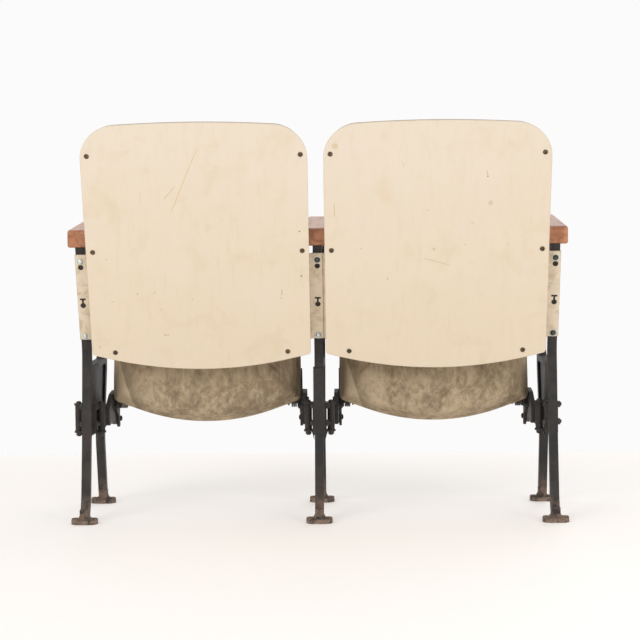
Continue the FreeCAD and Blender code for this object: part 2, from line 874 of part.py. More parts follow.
def wing_fasteners():
    """Two domed bolts and washers on the rear face of each post."""
    bolts = []
    washers = []
    for name, x in STANDARDS.items():
        layers = 2 if name == "middle" else 1
        face = layers * size.sheet_metal
        for index, up in enumerate((size.wing_bolt_high, size.wing_bolt_low)):
            tag = "%s_%d" % (name, index)
            seat = face + size.washer_thickness
            bolt = domed_screw("wing_bolt_" + tag, size.wing_bolt_head, size.wing_bolt_rise,
                               size.wing_bolt_radius,
                               seat + size.leg_depth - size.wing_bolt_short)
            put(bolt, 0, seat, up, angle=-90)
            bolts.append(leaning(group("wing_bolt_%s_set" % tag, [bolt]), x))
            disc = rod("wing_washer_%s_disc" % tag, "Y", (0, face, up), size.washer_radius,
                       size.washer_thickness)
            hole = rod("wing_washer_%s_hole" % tag, "Y", (0, face - OVERSHOOT, up),
                       size.wing_bolt_radius + size.washer_play, 4 * OVERSHOOT)
            washers.append(leaning(cut("wing_washer_" + tag, disc, [hole]), x))
    keep(group("wing_bolts", bolts), "wing_bolts")
    keep(group("wing_washers", washers), "wing_washers")


# Hinge brackets and knuckles, made for the side where X grows and mirrored by a sign

def side_span(side, near, far):
    """Limits along X for a piece that lies on one side of a standard."""
    near = as_size(near)
    far = as_size(far)
    return (near, far) if side > 0 else (-far, -near)


def side_plate(label, side, points, near, far):
    low, high = side_span(side, near, far)
    return plate(label, "YZ_Plane", points, low, high - low)


def side_rod(label, side, y, z, radius, near, far):
    low, high = side_span(side, near, far)
    return rod(label, "X", (low, y, z), radius, high - low)


def hinge_bracket(name, x, side):
    """A bolted casting with a shelf above and below the swivel barrel."""
    label = "hinge_bracket_" + name
    face = size.bracket_face
    low, high = size.bracket_low_z, size.bracket_high_z
    front, rear = size.bracket_front_y, size.bracket_rear_y
    out = size.swivel_out
    solids = [side_plate(label + "_back", side, [
        (front, low, size.bracket_front_corner), (rear, low, size.bracket_rear_corner),
        (rear, high, size.bracket_rear_corner), (front, high, size.bracket_front_corner)],
        face, face + size.bracket_sheet)]
    y_low = size.swivel_y - size.ledge_radius
    y_high = size.swivel_y + size.ledge_radius
    for end, z in (("low", low), ("high", high - size.ledge_thickness)):
        x_span = side_span(side, face, out)
        solids.append(block("%s_%s_shelf" % (label, end), x_span, (y_low, y_high),
                            (z, z + size.ledge_thickness)))
        solids.append(rod("%s_%s_nose" % (label, end), "Z", (side * out, size.swivel_y, z),
                          size.ledge_radius, size.ledge_thickness))
    lap = low + size.gusset_lap
    gusset = [(side * face, lap, 0), (side * (face + size.gusset_reach), lap, 0),
              (side * (face + size.gusset_waist), low - size.gusset_waist_drop, size.gusset_bend),
              (side * face, low - size.gusset_drop, 0)]
    solids.append(plate(label + "_gusset", "XZ_Plane", gusset,
                        -size.swivel_y - size.gusset_width / 2, size.gusset_width))
    tools = [rod(label + "_swivel_hole", "Z", (side * out, size.swivel_y, low - DRILL_RUN),
                 size.swivel_radius + size.swivel_play, high - low + 2 * DRILL_RUN)]
    for end, z in (("high", size.bracket_bolt_high_z), ("low", size.bracket_bolt_low_z)):
        tools.append(rod("%s_%s_bolt_hole" % (label, end), "X",
                         (-DRILL_RUN / 2, size.bracket_bolt_y, z),
                         size.bracket_bolt_radius + size.bolt_play, DRILL_RUN))
    keep(put(cut(label, join(label + "_casting", solids), tools), x), label)


def stop_angles():
    """Directions of the two stop buffers seen from the pivot."""
    swing = arcsine((size.tail_half_width + size.buffer_radius + size.soft_gap)
                    / size.stop_radius)
    rest = -size.tip_up_angle - size.tail_angle
    return rest - swing, rest + size.seat_travel + swing


def stop_places():
    return [
        (size.pivot_y + size.stop_radius * cosine(angle),
         size.pivot_z + size.stop_radius * sine(angle)) for angle in stop_angles()]


# The knuckle's ear: its root at the barrel, then its corners round the pivot with their bends
EAR_ROOT_Y = 24
EAR_ROOT_INSET = 8
EAR_ROOT_BEND = 6
EAR_CORNERS = ((50, 23, 12), (-8, 28, 18), (-34, 0, 22), (-36, -50, 14), (-6, -52, 14), (40, -38, 26))


def hinge_knuckle(name, x, side):
    """The barrel on the swivel bolt and the ear that carries the seat's pivot pin."""
    label = "hinge_knuckle_" + name
    low = size.bracket_low_z + size.ledge_thickness + size.soft_gap
    high = size.bracket_high_z - size.ledge_thickness - size.soft_gap
    barrel = rod(label + "_barrel", "Z", (side * size.swivel_out, size.swivel_y, low),
                 size.barrel_radius, high - low)
    web = side_plate(label + "_web", side, [
        (size.swivel_y, low + 6, 0), (size.swivel_y, high - 6, 0),
        (-20, high - 4, 0), (-20, low + 12, 0)], size.swivel_out - 2, size.ear_inner + 2)
    pivot_y, pivot_z = size.pivot_y, size.pivot_z
    root = [(EAR_ROOT_Y, low + EAR_ROOT_INSET, EAR_ROOT_BEND),
            (EAR_ROOT_Y, high - EAR_ROOT_INSET, EAR_ROOT_BEND)]
    lobe = [(pivot_y + along, pivot_z + up, bend) for along, up, bend in EAR_CORNERS]
    ear = side_plate(label + "_ear", side, root + lobe, size.ear_inner, size.ear_outer)
    studs = [
        side_rod("%s_stud_%d" % (label, index), side, y, z, size.buffer_stud,
                 size.ear_inner + 1, size.ear_outer + size.buffer_length + 1)
        for index, (y, z) in enumerate(stop_places())]
    tools = [
        rod(label + "_swivel_hole", "Z", (side * size.swivel_out, size.swivel_y, low - OVERSHOOT),
            size.swivel_radius + size.swivel_play, high - low + 2 * OVERSHOOT),
        side_rod(label + "_pin_hole", side, pivot_y, pivot_z, size.pin_radius + size.pin_fit,
                 size.ear_inner - OVERSHOOT, size.ear_outer + OVERSHOOT)]
    casting = join(label + "_casting", [barrel, web, ear] + studs)
    keep(put(cut(label, casting, tools), x), label)


def spare_sleeve(x, side):
    """A tube that fills the spare bracket's place where no seat hangs."""
    low = size.bracket_low_z + size.ledge_thickness + size.soft_gap
    high = size.bracket_high_z - size.ledge_thickness - size.soft_gap
    centre = (side * size.swivel_out, size.swivel_y, low)
    tube = rod("spare_sleeve_tube", "Z", centre, size.barrel_radius, high - low)
    bore = rod("spare_sleeve_bore", "Z", centre, size.swivel_radius + size.swivel_play, high - low)
    keep(put(cut("spare_sleeve", tube, [bore]), x), "spare_sleeve")


HINGES = {
    "left_outer": ("left", 1), "left": ("left", -1), "middle_left": ("middle", 1),
    "middle_right": ("middle", -1), "right": ("right", 1)}
SEAT_OF_HINGE = {"left": "left", "middle_left": "left", "middle_right": "right", "right": "right"}


def swivel_bolts():
    """A domed bolt and nut through the shelves of each bracket."""
    bolts = []
    for name, (post, side) in HINGES.items():
        long = size.bracket_high_z - size.bracket_low_z
        thick = size.swivel_nut_height
        bolt = domed_screw("swivel_bolt_%s_shank" % name, size.swivel_head, size.swivel_rise,
                           size.swivel_radius, long + thick + size.swivel_tip)
        nut = rod("swivel_bolt_%s_nut" % name, "Z", (0, 0, -long - thick),
                  size.swivel_nut_radius, thick)
        bolts.append(put(join("swivel_bolt_" + name, [bolt, nut]),
                         STANDARDS[post] + side * size.swivel_out, size.swivel_y,
                         size.bracket_high_z))
    keep(group("swivel_bolts", bolts), "swivel_bolts")


def bracket_fasteners():
    """Two through bolts and square nuts in each standard."""
    bolts = []
    nuts = []
    grip = size.bracket_face + size.bracket_sheet
    for name, x in STANDARDS.items():
        nut_grip = size.bracket_face if name == "right" else grip
        for index, z in enumerate((size.bracket_bolt_high_z, size.bracket_bolt_low_z)):
            tag = "%s_%d" % (name, index)
            long = grip + nut_grip + size.bracket_nut_height + size.bracket_bolt_tip
            bolt = domed_screw("bracket_bolt_" + tag, size.bracket_bolt_head,
                               size.bracket_bolt_rise, size.bracket_bolt_radius, long)
            put(bolt, x + grip, size.bracket_bolt_y, z, axis=(0, 1, 0), angle=90)
            bolts.append(bolt)
            half = size.bracket_nut_width / 2
            square = block("bracket_nut_%s_square" % tag, (-size.bracket_nut_height, 0),
                           (-half, half), (-half, half))
            hole = rod("bracket_nut_%s_hole" % tag, "X", (-DRILL_RUN / 2, 0, 0),
                       size.bracket_bolt_radius + size.screw_play, DRILL_RUN)
            nuts.append(put(cut("bracket_nut_" + tag, square, [hole]),
                            x - nut_grip, size.bracket_bolt_y, z))
    keep(group("bracket_bolts", bolts), "bracket_bolts")
    keep(group("bracket_nuts", nuts), "bracket_nuts")


def stop_buffers():
    """A rubber sleeve on each stop stud."""
    sleeves = []
    for name, post_side in HINGES.items():
        if name not in SEAT_OF_HINGE:
            continue
        post, side = post_side
        for index, (y, z) in enumerate(stop_places()):
            tag = "buffer_%s_%d" % (name, index)
            sleeve = side_rod(tag + "_rubber", side, y, z, size.buffer_radius,
                              size.ear_outer, size.ear_outer + size.buffer_length)
            hole = side_rod(tag + "_hole", side, y, z, size.buffer_stud + size.screw_play,
                            size.ear_outer - OVERSHOOT,
                            size.ear_outer + size.buffer_length + OVERSHOOT)
            sleeves.append(put(cut(tag, sleeve, [hole]), STANDARDS[post]))
    keep(group("stop_buffers", sleeves), "stop_buffers")


# Pivot pins, bushes, hinge arms and lift springs

hinge_start = size.ear_outer + size.hinge_gap
boss_end = hinge_start + size.hinge_boss
spring_start = boss_end + size.spring_play + size.spring_wire / 2
spring_end = spring_start + size.spring_turns * size.spring_pitch
pin_end = spring_end + size.spring_wire / 2 + size.spring_play


def pivot_pin(name, x, side):
    """A headed pin fixed in the knuckle's ear, with a collar that keeps the spring on."""
    label = "pivot_pin_" + name
    y, z = size.pivot_y, size.pivot_z
    rim = size.pin_rim_height
    pieces = [
        side_rod(label + "_shank", side, y, z, size.pin_radius, size.ear_inner - size.pin_tip,
                 pin_end + size.pin_tip),
        side_rod(label + "_head", side, y, z, size.pin_radius + size.pin_head_rim,
                 size.ear_inner - rim, size.ear_inner),
        side_rod(label + "_collar", side, y, z, size.pin_radius + size.pin_collar_rim, pin_end,
                 pin_end + rim)]
    keep(put(join(label, pieces), x), label)


def hinge_arm(name, x, side):
    """The casting that carries one side of the seat on the pivot pin."""
    label = "hinge_arm_" + name
    under = size.seat_under
    tail = -size.tail_angle
    half = size.tail_half_width
    long = size.tail_length

    def tail_point(along, across, radius):
        return (along * cosine(tail) - across * sine(tail),
                along * sine(tail) + across * cosine(tail), radius)

    side_view = side_plate(label + "_side", side, [
        (8, -20, 6), tail_point(28, -half, 6), tail_point(long, -half, half * 0.8),
        tail_point(long, half, half * 0.8), tail_point(30, half, 8), (20, under, 2),
        (-74, under, 2), (-64, under - 14, 8), (-24, -6, 12), (-10, -20, 8)],
        hinge_start, hinge_start + size.hinge_plate)
    boss = side_rod(label + "_boss", side, 0, 0, size.hinge_boss_radius, hinge_start, boss_end)
    x_span = side_span(side, hinge_start, size.hinge_flange_end)
    flange = block(label + "_flange", x_span, (-74, size.seat_rear_corner - 2),
                   (under - size.hinge_flange_thickness, under))
    tools = [side_rod(label + "_bore", side, 0, 0,
                      size.pin_radius + size.pin_run + size.bush_wall,
                      hinge_start - OVERSHOOT, boss_end + OVERSHOOT)]
    for index, (across, along) in enumerate(hinge_screw_places()):
        tools.append(rod("%s_screw_hole_%d" % (label, index), "Z", (side * across, along, 0),
                         size.hinge_screw_radius + size.flange_screw_play, DRILL_RUN))
    casting = join(label + "_casting", [side_view, boss, flange])
    keep(tipped(cut(label, casting, tools), x), label)


# Distances of a flange's screws from the pivot, towards the seat's front
HINGE_SCREW_ROWS = (-62, -38, -15)


def hinge_screw_places():
    across = size.hinge_flange_end - size.hinge_screw_inset
    return [(across, along) for along in HINGE_SCREW_ROWS]


def arc_between(start, direction, end):
    """The arc that leaves a point in a direction and reaches another point."""
    chord = end - start
    bend = direction.getAngle(chord)
    middle = (start + end) * 0.5
    outward = start + direction * (chord.Length / 2 / math.cos(bend)) - middle
    outward.normalize()
    crest = middle + outward * (chord.Length / 2 * math.tan(bend / 2))
    return Part.Arc(start, crest, end).toShape()


def two_arcs(start, leaving, end, arriving):
    """Two arcs that meet smoothly between two points with given directions."""
    gap = end - start
    total = leaving + arriving
    a = 2 * (leaving.dot(arriving) - 1)
    b = -2 * gap.dot(total)
    c = gap.dot(gap)
    reach = (-b - math.sqrt(b * b - 4 * a * c)) / (2 * a)
    meeting = (start + leaving * reach + end - arriving * reach) * 0.5
    across = (end - arriving * reach) - (start + leaving * reach)
    return [arc_between(start, leaving, meeting), arc_between(meeting, across.normalize(), end)]


def lift_spring(name, x, side):
    """A torsion spring round the pin, whose leg lies under the hinge arm's flange."""
    label = "lift_spring_" + name
    radius = size.spring_mean_radius.value
    pitch = size.spring_pitch.value
    climb = pitch / (2 * math.pi)
    tilt = math.radians(7.5)
    quarters = int(size.spring_turns.value * 4)

    def coil(step):
        angle = math.pi / 2 - tilt - step * math.pi / 2
        place = FreeCAD.Vector(side * (spring_start.value + pitch * step / 4),
                               radius * math.cos(angle), radius * math.sin(angle))
        along = FreeCAD.Vector(side * climb, radius * math.sin(angle),
                               -radius * math.cos(angle))
        return place, along.normalize()

    begin, heading = coil(0)
    leg_end = begin - FreeCAD.Vector(0, heading.y, heading.z) * size.spring_leg.value
    edges = [Part.LineSegment(leg_end, begin).toShape()]
    for step in range(quarters):
        edges += two_arcs(*coil(step), *coil(step + 1))
    path = Part.Wire(edges)
    direction = begin - leg_end
    ring = Part.Circle(leg_end, direction, size.spring_wire.value / 2).toShape()
    item = doc.addObject("Part::Feature", label)
    item.Shape = path.makePipeShell([Part.Wire([ring])], True, False)
    keep(tipped(item, x), label)


# Seats

SEAT_CORNER = 15
# The front corners are this much rounder
FRONT_EXTRA = 18
REAR_SHARE = 0.75
FRONT_SHARE = 0.5
# The cushion's outline, as height over its skirt and how far it is drawn in there
CUSHION_PROFILE = ((0, 2.5), (8, 0.6), (28, 0), (48, 1), (58, 4), (67, 11), (75, 26), (80, 50), (83, 90))
CUSHION_WAIST = 2.5
# The frame's opening: its corners, and how much slimmer the rear rail is
OPENING_CORNER = 20
REAR_RAIL_LESS = 22
# How far the zigzag springs' ends lie over the rails
SPRING_LAP = 12


def seat_outline(inset, corner=SEAT_CORNER):
    """Outline of the seat laid flat, bowed at the rear, drawn in by an inset."""
    half = size.seat_half_width - inset
    rear = size.seat_rear_corner - inset
    front = size.seat_front + inset
    rear_bow = size.seat_rear_bow * half / size.seat_half_width
    front_bow = size.seat_front_bow * half / size.seat_half_width
    return [
        (half, rear, corner), (0, rear + 2 * rear_bow, bow_bend(half, rear_bow, REAR_SHARE)),
        (-half, rear, corner), (-half, front, corner + FRONT_EXTRA),
        (0, front - 2 * front_bow, bow_bend(half, front_bow, FRONT_SHARE)),
        (half, front, corner + FRONT_EXTRA)]


def seat_opening(name, low, high, grow=0):
    """The hole in the seat's frame, or the hollow above it for the springs."""
    half = size.seat_half_width - size.frame_rail + grow
    front = size.seat_front + size.frame_rail - grow
    rear = size.seat_rear_corner - size.frame_rail + REAR_RAIL_LESS + grow
    bend = OPENING_CORNER
    return plate(name, "XY_Plane", [
        (-half, front, bend), (half, front, bend), (half, rear, bend), (-half, rear, bend)],
        low, high - low)


def seat_hinge_holes(label, name, low, high):
    """Screw holes above both hinge flanges of a seat."""
    tools = []
    for side in (-1, 1):
        for index, (across, along) in enumerate(hinge_screw_places()):
            from_middle = side * (size.seat_pitch / 2 - across)
            tools.append(rod("%s_%s_hinge_hole_%d_%d" % (label, name, side, index), "Z",
                             (from_middle, along, low), size.hinge_screw_radius + size.screw_play,
                             high - low))
    return tools


def seat_board(name, x):
    """The hardwood frame and the sheet pan beneath it."""
    pan_low = size.seat_under
    frame_low = pan_low + size.pan_thickness
    frame_high = frame_low + size.frame_thickness
    inset = size.skirt_wall + size.soft_gap
    label = "seat_frame_" + name
    frame = plate(label + "_wood", "XY_Plane", seat_outline(inset), frame_low,
                  size.frame_thickness)
    tools = [seat_opening(label + "_opening", frame_low - 1, frame_high + 1)]
    tools += seat_hinge_holes("frame", name, frame_low - 1, frame_low + 17)
    keep(tipped(cut(label, frame, tools), x), label)
    label = "seat_pan_" + name
    pan = plate(label + "_sheet", "XY_Plane", seat_outline(inset), pan_low, size.pan_thickness)
    tools = seat_hinge_holes("pan", name, pan_low - 1, frame_low + 1)
    keep(tipped(cut(label, pan, tools), x), label)


def seat_cushion(name, x):
    """The upholstered seat: a crowned pad with a skirt that covers the frame's sides."""
    label = "seat_cushion_" + name
    low = size.seat_under.value + size.pan_thickness.value + 1
    highest = CUSHION_PROFILE[-1][0]
    reach = size.cushion_high.value - low
    wires = []
    for rise, inset in CUSHION_PROFILE:
        outline = drawn_in(seat_outline(as_size(inset), SEAT_CORNER + inset * 0.25), CUSHION_WAIST)
        level = low + rise * reach / highest
        wires.append(soft_wire(outline, lambda p, z=level: FreeCAD.Vector(p.x, p.y, z)))
    crown = doc.addObject("Part::Feature", label + "_crown")
    crown.Shape = Part.makeLoft(wires, True, True)
    frame_high = size.seat_under + size.pan_thickness + size.frame_thickness
    pocket = plate(label + "_pocket", "XY_Plane", seat_outline(size.skirt_wall), low - 2,
                   frame_high + size.soft_gap - (low - 2))
    hollow = seat_opening(label + "_hollow", frame_high - 2,
                          frame_high + 2 * size.seat_spring_wire + 2, grow=18)
    keep(tipped(cut(label, crown, [pocket, hollow]), x), label)


def seat_springs(name, x):
    """Zigzag wires stretched from the front rail to the rear rail of the seat's frame."""
    label = "seat_springs_" + name
    loop = size.seat_spring_loop.value
    wire = size.seat_spring_wire.value
    rail_high = (size.seat_under + size.pan_thickness + size.frame_thickness).value
    level = rail_high + wire + 0.05
    front = (size.seat_front + size.frame_rail).value - SPRING_LAP
    rear = (size.seat_rear_corner - size.frame_rail).value + REAR_RAIL_LESS + SPRING_LAP
    count = int(size.seat_spring_count.value)
    half = (size.seat_half_width - size.frame_rail).value - 2 * loop
    swings = int((rear - front) / loop / 4) * 2
    pitch = (rear - front) / (swings + 1)
    bend = pitch / 2

    def at(across, along):
        return FreeCAD.Vector(across, along, level)

    springs = []
    for index in range(count):
        middle = -half + 2 * half * index / (count - 1)
        edges = [Part.LineSegment(at(middle - loop, front), at(middle + loop - bend, front)).toShape()]
        for step in range(swings):
            hand = 1 if step % 2 == 0 else -1
            near = front + pitch * step
            side = middle + hand * (loop - bend)
            tip = bend * math.sqrt(0.5)
            edges.append(Part.Arc(at(side, near), at(side + hand * tip, near + bend - tip),
                                  at(side + hand * bend, near + bend)).toShape())
            edges.append(Part.Arc(at(side + hand * bend, near + bend),
                                  at(side + hand * tip, near + bend + tip),
                                  at(side, near + pitch)).toShape())
            other = middle - hand * (loop - bend)
            edges.append(Part.LineSegment(at(side, near + pitch), at(other, near + pitch)).toShape())
        path = Part.Wire(edges)
        ring = Part.Circle(at(middle - loop, front), FreeCAD.Vector(1, 0, 0), wire).toShape()
        springs.append(path.makePipeShell([Part.Wire([ring])], True, False))
    item = doc.addObject("Part::Feature", label)
    item.Shape = Part.makeCompound(springs)
    keep(tipped(item, x), label)


def seat_hardware(name, x):
    """Bushes pressed into the hinge arms and the screws that hold the arms to the frame."""
    bushes = []
    screws = []
    inner = size.pin_radius + size.pin_run
    for side in (-1, 1):
        post = -side * size.seat_pitch / 2
        tag = "%s_%s" % (name, "low" if side < 0 else "high")
        low, high = side_span(side, hinge_start, boss_end)
        tube = rod("bush_%s_tube" % tag, "X", (post + low, 0, 0), inner + size.bush_wall - size.pin_fit,
                   high - low)
        bore = rod("bush_%s_bore" % tag, "X", (post + low - 2, 0, 0), inner, high - low + 4)
        bushes.append(cut("bush_" + tag, tube, [bore]))
        for index, (across, along) in enumerate(hinge_screw_places()):
            screw = domed_screw("hinge_screw_%s_%d" % (tag, index), size.hinge_screw_head,
                                size.hinge_screw_rise, size.hinge_screw_radius,
                                size.hinge_flange_thickness + size.hinge_screw_bite)
            screws.append(put(screw, post + side * across, along,
                              size.seat_under - size.hinge_flange_thickness, angle=180))
    keep(tipped(group("pivot_bushes_" + name, bushes), x), "pivot_bushes_" + name)
    keep(tipped(group("hinge_screws_" + name, screws), x), "hinge_screws_" + name)


# The whole row

for place, middle in STANDARDS.items():
    standard(place, middle)
    armrest(place, middle)
armrest_screws()
for place, middle in SEATS.items():
    back_shell(place, middle)
    back_pad(place, middle)
    seat_board(place, middle)
    seat_cushion(place, middle)
    seat_springs(place, middle)
    seat_hardware(place, middle)
wing("left_outer", SEATS["left"], 1, 0)
wing("left_inner", SEATS["left"], -1, 1)
wing("right_inner", SEATS["right"], 1, 0)
wing("right_outer", SEATS["right"], -1, 0)
wing_fasteners()
for place, (post, hand) in HINGES.items():
    hinge_bracket(place, STANDARDS[post], hand)
    if place in SEAT_OF_HINGE:
        hinge_knuckle(place, STANDARDS[post], hand)
        pivot_pin(place, STANDARDS[post], hand)
        hinge_arm(place, STANDARDS[post], hand)
        lift_spring(place, STANDARDS[post], hand)
spare_sleeve(STANDARDS["left"], 1)
swivel_bolts()
bracket_fasteners()
stop_buffers()
doc.recompute()

for item in doc.Objects:
    if "Invalid" in item.State or "Error" in item.State:
        raise RuntimeError("%s failed: %s" % (item.Label, item.State))
os.makedirs("parts", exist_ok=True)
for item in nodes:
    shape = item.Shape
    if shape.isNull() or not shape.isValid() or not shape.Solids:
        raise RuntimeError("%s has no sound shape" % item.Label)
for item in nodes:
    item.Shape.exportStep("parts/%s.step" % item.Label)
print("%d nodes" % len(nodes))
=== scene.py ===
import math

import bmesh
import bpy
from mathutils import Matrix, Vector, noise


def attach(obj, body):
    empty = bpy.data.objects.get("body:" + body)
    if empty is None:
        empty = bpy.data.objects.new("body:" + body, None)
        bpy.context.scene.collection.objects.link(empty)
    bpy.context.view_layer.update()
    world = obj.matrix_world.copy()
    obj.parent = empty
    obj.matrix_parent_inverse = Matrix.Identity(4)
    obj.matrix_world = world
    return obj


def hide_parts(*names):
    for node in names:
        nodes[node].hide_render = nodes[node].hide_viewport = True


# Pair of tip-up auditorium seats, seen from behind
# Metres: X runs along the row, the sitters face -Y and Z is up
# The origin is on the floor in the middle of the middle standard's bolts

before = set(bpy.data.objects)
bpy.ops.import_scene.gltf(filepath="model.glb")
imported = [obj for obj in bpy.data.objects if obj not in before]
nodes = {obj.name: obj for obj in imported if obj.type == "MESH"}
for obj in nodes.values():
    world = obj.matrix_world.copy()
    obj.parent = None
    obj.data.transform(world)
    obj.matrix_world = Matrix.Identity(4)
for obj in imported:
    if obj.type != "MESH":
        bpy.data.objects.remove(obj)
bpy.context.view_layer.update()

MM = 0.001
SEAT_X = {"left": 254 * MM, "right": -254 * MM}
POST_X = {"left": 508 * MM, "middle": 0.0, "right": -508 * MM}
LEAN = math.radians(17.5)
LEAN_ORIGIN = Vector((0, 84, 395)) * MM
PANEL_FACE = 22 * MM
PIVOT = Vector((0, -85, 240)) * MM
# A seat's turn from flat to tipped up
TIP_UP = math.radians(84)
UP_SLOPE = Vector((0, math.sin(LEAN), math.cos(LEAN)))
REARWARD = Vector((0, math.cos(LEAN), -math.sin(LEAN)))


def leaning(x, rearward, up):
    """A point of the leaning back: along the row, behind the posts' faces and up the slope."""
    return Vector((x, 0, 0)) + LEAN_ORIGIN + REARWARD * rearward + UP_SLOPE * up


# Shader building blocks

def linear(red, green, blue):
    """A colour given as it looks on screen, 0 to 255, as a shader takes it."""
    def channel(value):
        share = value / 255
        return share / 12.92 if share <= 0.04045 else ((share + 0.055) / 1.055) ** 2.4
    return (channel(red), channel(green), channel(blue), 1.0)


BEVEL_SAMPLES = 6
# How far a rounded normal agrees with the true one on an open face and on a sharp edge
OPEN_FACE = 0.97
FULL_EDGE = 0.75


class Finish:
    """A material's node tree, with short calls for the nodes that the finishes use."""

    def __init__(self, name):
        self.material = bpy.data.materials.new(name)
        self.material.use_nodes = True
        self.tree = self.material.node_tree
        self.shader = self.tree.nodes["Principled BSDF"]
        self.place = self.add("ShaderNodeTexCoord").outputs["Object"]

    def add(self, kind, **settings):
        node = self.tree.nodes.new(kind)
        for key, value in settings.items():
            setattr(node, key, value)
        return node

    def feed(self, socket, value):
        """Links a node's output to a socket, or sets the socket to a plain value."""
        if isinstance(value, bpy.types.NodeSocket):
            self.tree.links.new(value, socket)
        else:
            socket.default_value = value

    def math(self, operation, first, second=0.0, clamp=False):
        node = self.add("ShaderNodeMath", operation=operation, use_clamp=clamp)
        self.feed(node.inputs[0], first)
        self.feed(node.inputs[1], second)
        return node.outputs[0]

    def vector(self, operation, first, second=(0, 0, 0)):
        node = self.add("ShaderNodeVectorMath", operation=operation)
        self.feed(node.inputs[0], first)
        if operation == "SCALE":
            self.feed(node.inputs["Scale"], second)
        else:
            self.feed(node.inputs[1], second)
        return node.outputs["Value" if operation in ("DOT_PRODUCT", "LENGTH") else "Vector"]

    def stretched(self, scale, turn=(0, 0, 0)):
        """The object's coordinates scaled by axis, for a pattern with a direction."""
        node = self.add("ShaderNodeMapping")
        self.feed(node.inputs["Vector"], self.place)
        node.inputs["Scale"].default_value = scale
        node.inputs["Rotation"].default_value = turn
        return node.outputs[0]

    def noise(self, scale, detail=3.0, roughness=0.55, distortion=0.0, place=None):
        node = self.add("ShaderNodeTexNoise")
        self.feed(node.inputs["Vector"], place or self.place)
        node.inputs["Scale"].default_value = scale
        node.inputs["Detail"].default_value = detail
        node.inputs["Roughness"].default_value = roughness
        node.inputs["Distortion"].default_value = distortion
        return node.outputs["Fac"]

    def spread(self, value, low, high, to_low=0.0, to_high=1.0, smooth=True):
        """Maps a range of a value to another range, held at its ends."""
        node = self.add("ShaderNodeMapRange", clamp=True)
        node.interpolation_type = "SMOOTHSTEP" if smooth else "LINEAR"
        self.feed(node.inputs["Value"], value)
        for key, number in (("From Min", low), ("From Max", high), ("To Min", to_low),
                            ("To Max", to_high)):
            node.inputs[key].default_value = number
        return node.outputs["Result"]

    def mix(self, share, first, second):
        node = self.add("ShaderNodeMix", data_type="RGBA")
        self.feed(node.inputs[0], share)
        self.feed(node.inputs[6], first)
        self.feed(node.inputs[7], second)
        return node.outputs[2]

    def tinted(self, colour, pattern, low, high, depth, tint):
        """Lays a tint over a colour, more deeply as a pattern rises from low to high."""
        return self.mix(self.spread(pattern, low, high, 0, depth), colour, tint)

    def axis(self, letter):
        node = self.add("ShaderNodeSeparateXYZ")
        self.feed(node.inputs[0], self.place)
        return node.outputs[letter]

    def edges(self, width):
        """1 on convex and concave edges, 0 on open faces."""
        rounded = self.add("ShaderNodeBevel", samples=BEVEL_SAMPLES)
        rounded.inputs["Radius"].default_value = width
        true_normal = self.add("ShaderNodeNewGeometry").outputs["Normal"]
        return self.spread(self.vector("DOT_PRODUCT", rounded.outputs[0], true_normal),
                           OPEN_FACE, FULL_EDGE)

    def bump(self, height, strength, distance, edge=0.0):
        """Raises the surface by a pattern, over edges rounded by a width."""
        node = self.add("ShaderNodeBump")
        node.inputs["Strength"].default_value = strength
        node.inputs["Distance"].default_value = distance
        self.feed(node.inputs["Height"], height)
        if edge:
            rounded = self.add("ShaderNodeBevel", samples=BEVEL_SAMPLES)
            rounded.inputs["Radius"].default_value = edge
            self.feed(node.inputs["Normal"], rounded.outputs[0])
        self.feed(self.shader.inputs["Normal"], node.outputs[0])

    def coat(self, colour, roughness, metallic=0.0, **plain):
        """Feeds the finished colour and roughness to the shader, with its plain settings."""
        self.feed(self.shader.inputs["Base Color"], colour)
        self.feed(self.shader.inputs["Roughness"], roughness)
        self.shader.inputs["Metallic"].default_value = metallic
        for key, value in plain.items():
            self.shader.inputs[key.replace("_", " ")].default_value = value
        return self.material

    def scratch(self, start, end, width, wobble):
        """1 on a straight mark between two points, fading out at its sides and ends."""
        run = end - start
        long = run.length
        from_start = self.vector("SUBTRACT", wobble, tuple(start))
        along = self.vector("DOT_PRODUCT", from_start, tuple(run.normalized()))
        held = self.math("MINIMUM", self.math("MAXIMUM", along, 0.0), long)
        foot = self.vector("SCALE", tuple(run.normalized()), held)
        away = self.vector("LENGTH", self.vector("SUBTRACT", from_start, foot))
        line = self.spread(away, width, width * 0.3)
        ends = self.spread(self.math("ABSOLUTE", self.math("SUBTRACT", along, long / 2)),
                           long / 2, long * 0.3)
        return self.math("MULTIPLY", line, ends)

    def spot(self, centre, radius):
        """1 inside a round spot, fading out at its rim."""
        away = self.vector("LENGTH", self.vector("SUBTRACT", self.place, tuple(centre)))
        return self.spread(away, radius, radius * 0.45)


# Finishes

# Heights between which the backs' paint turns from a painted shade at the bottom to its upper tint
BACK_LOW = 0.37
BACK_HIGH = 0.80
SCRATCH_WOBBLE = 1.6 * MM
# Heights over the floor at which rust starts on the legs and is full, and where dust lies
RUST_HIGH = 75 * MM
RUST_FULL = 4 * MM
DUST_HIGH = 20 * MM
VENEER = 2.4 * MM

CREAM = linear(241, 227, 206)
# The cream in painted shade, for the lower part of the backs
CREAM_PAINTED_SHADE = linear(238, 221, 195)
# Darker colour along the edges: dirt and painted shade
GRIME_AND_SHADE = linear(134, 118, 84)


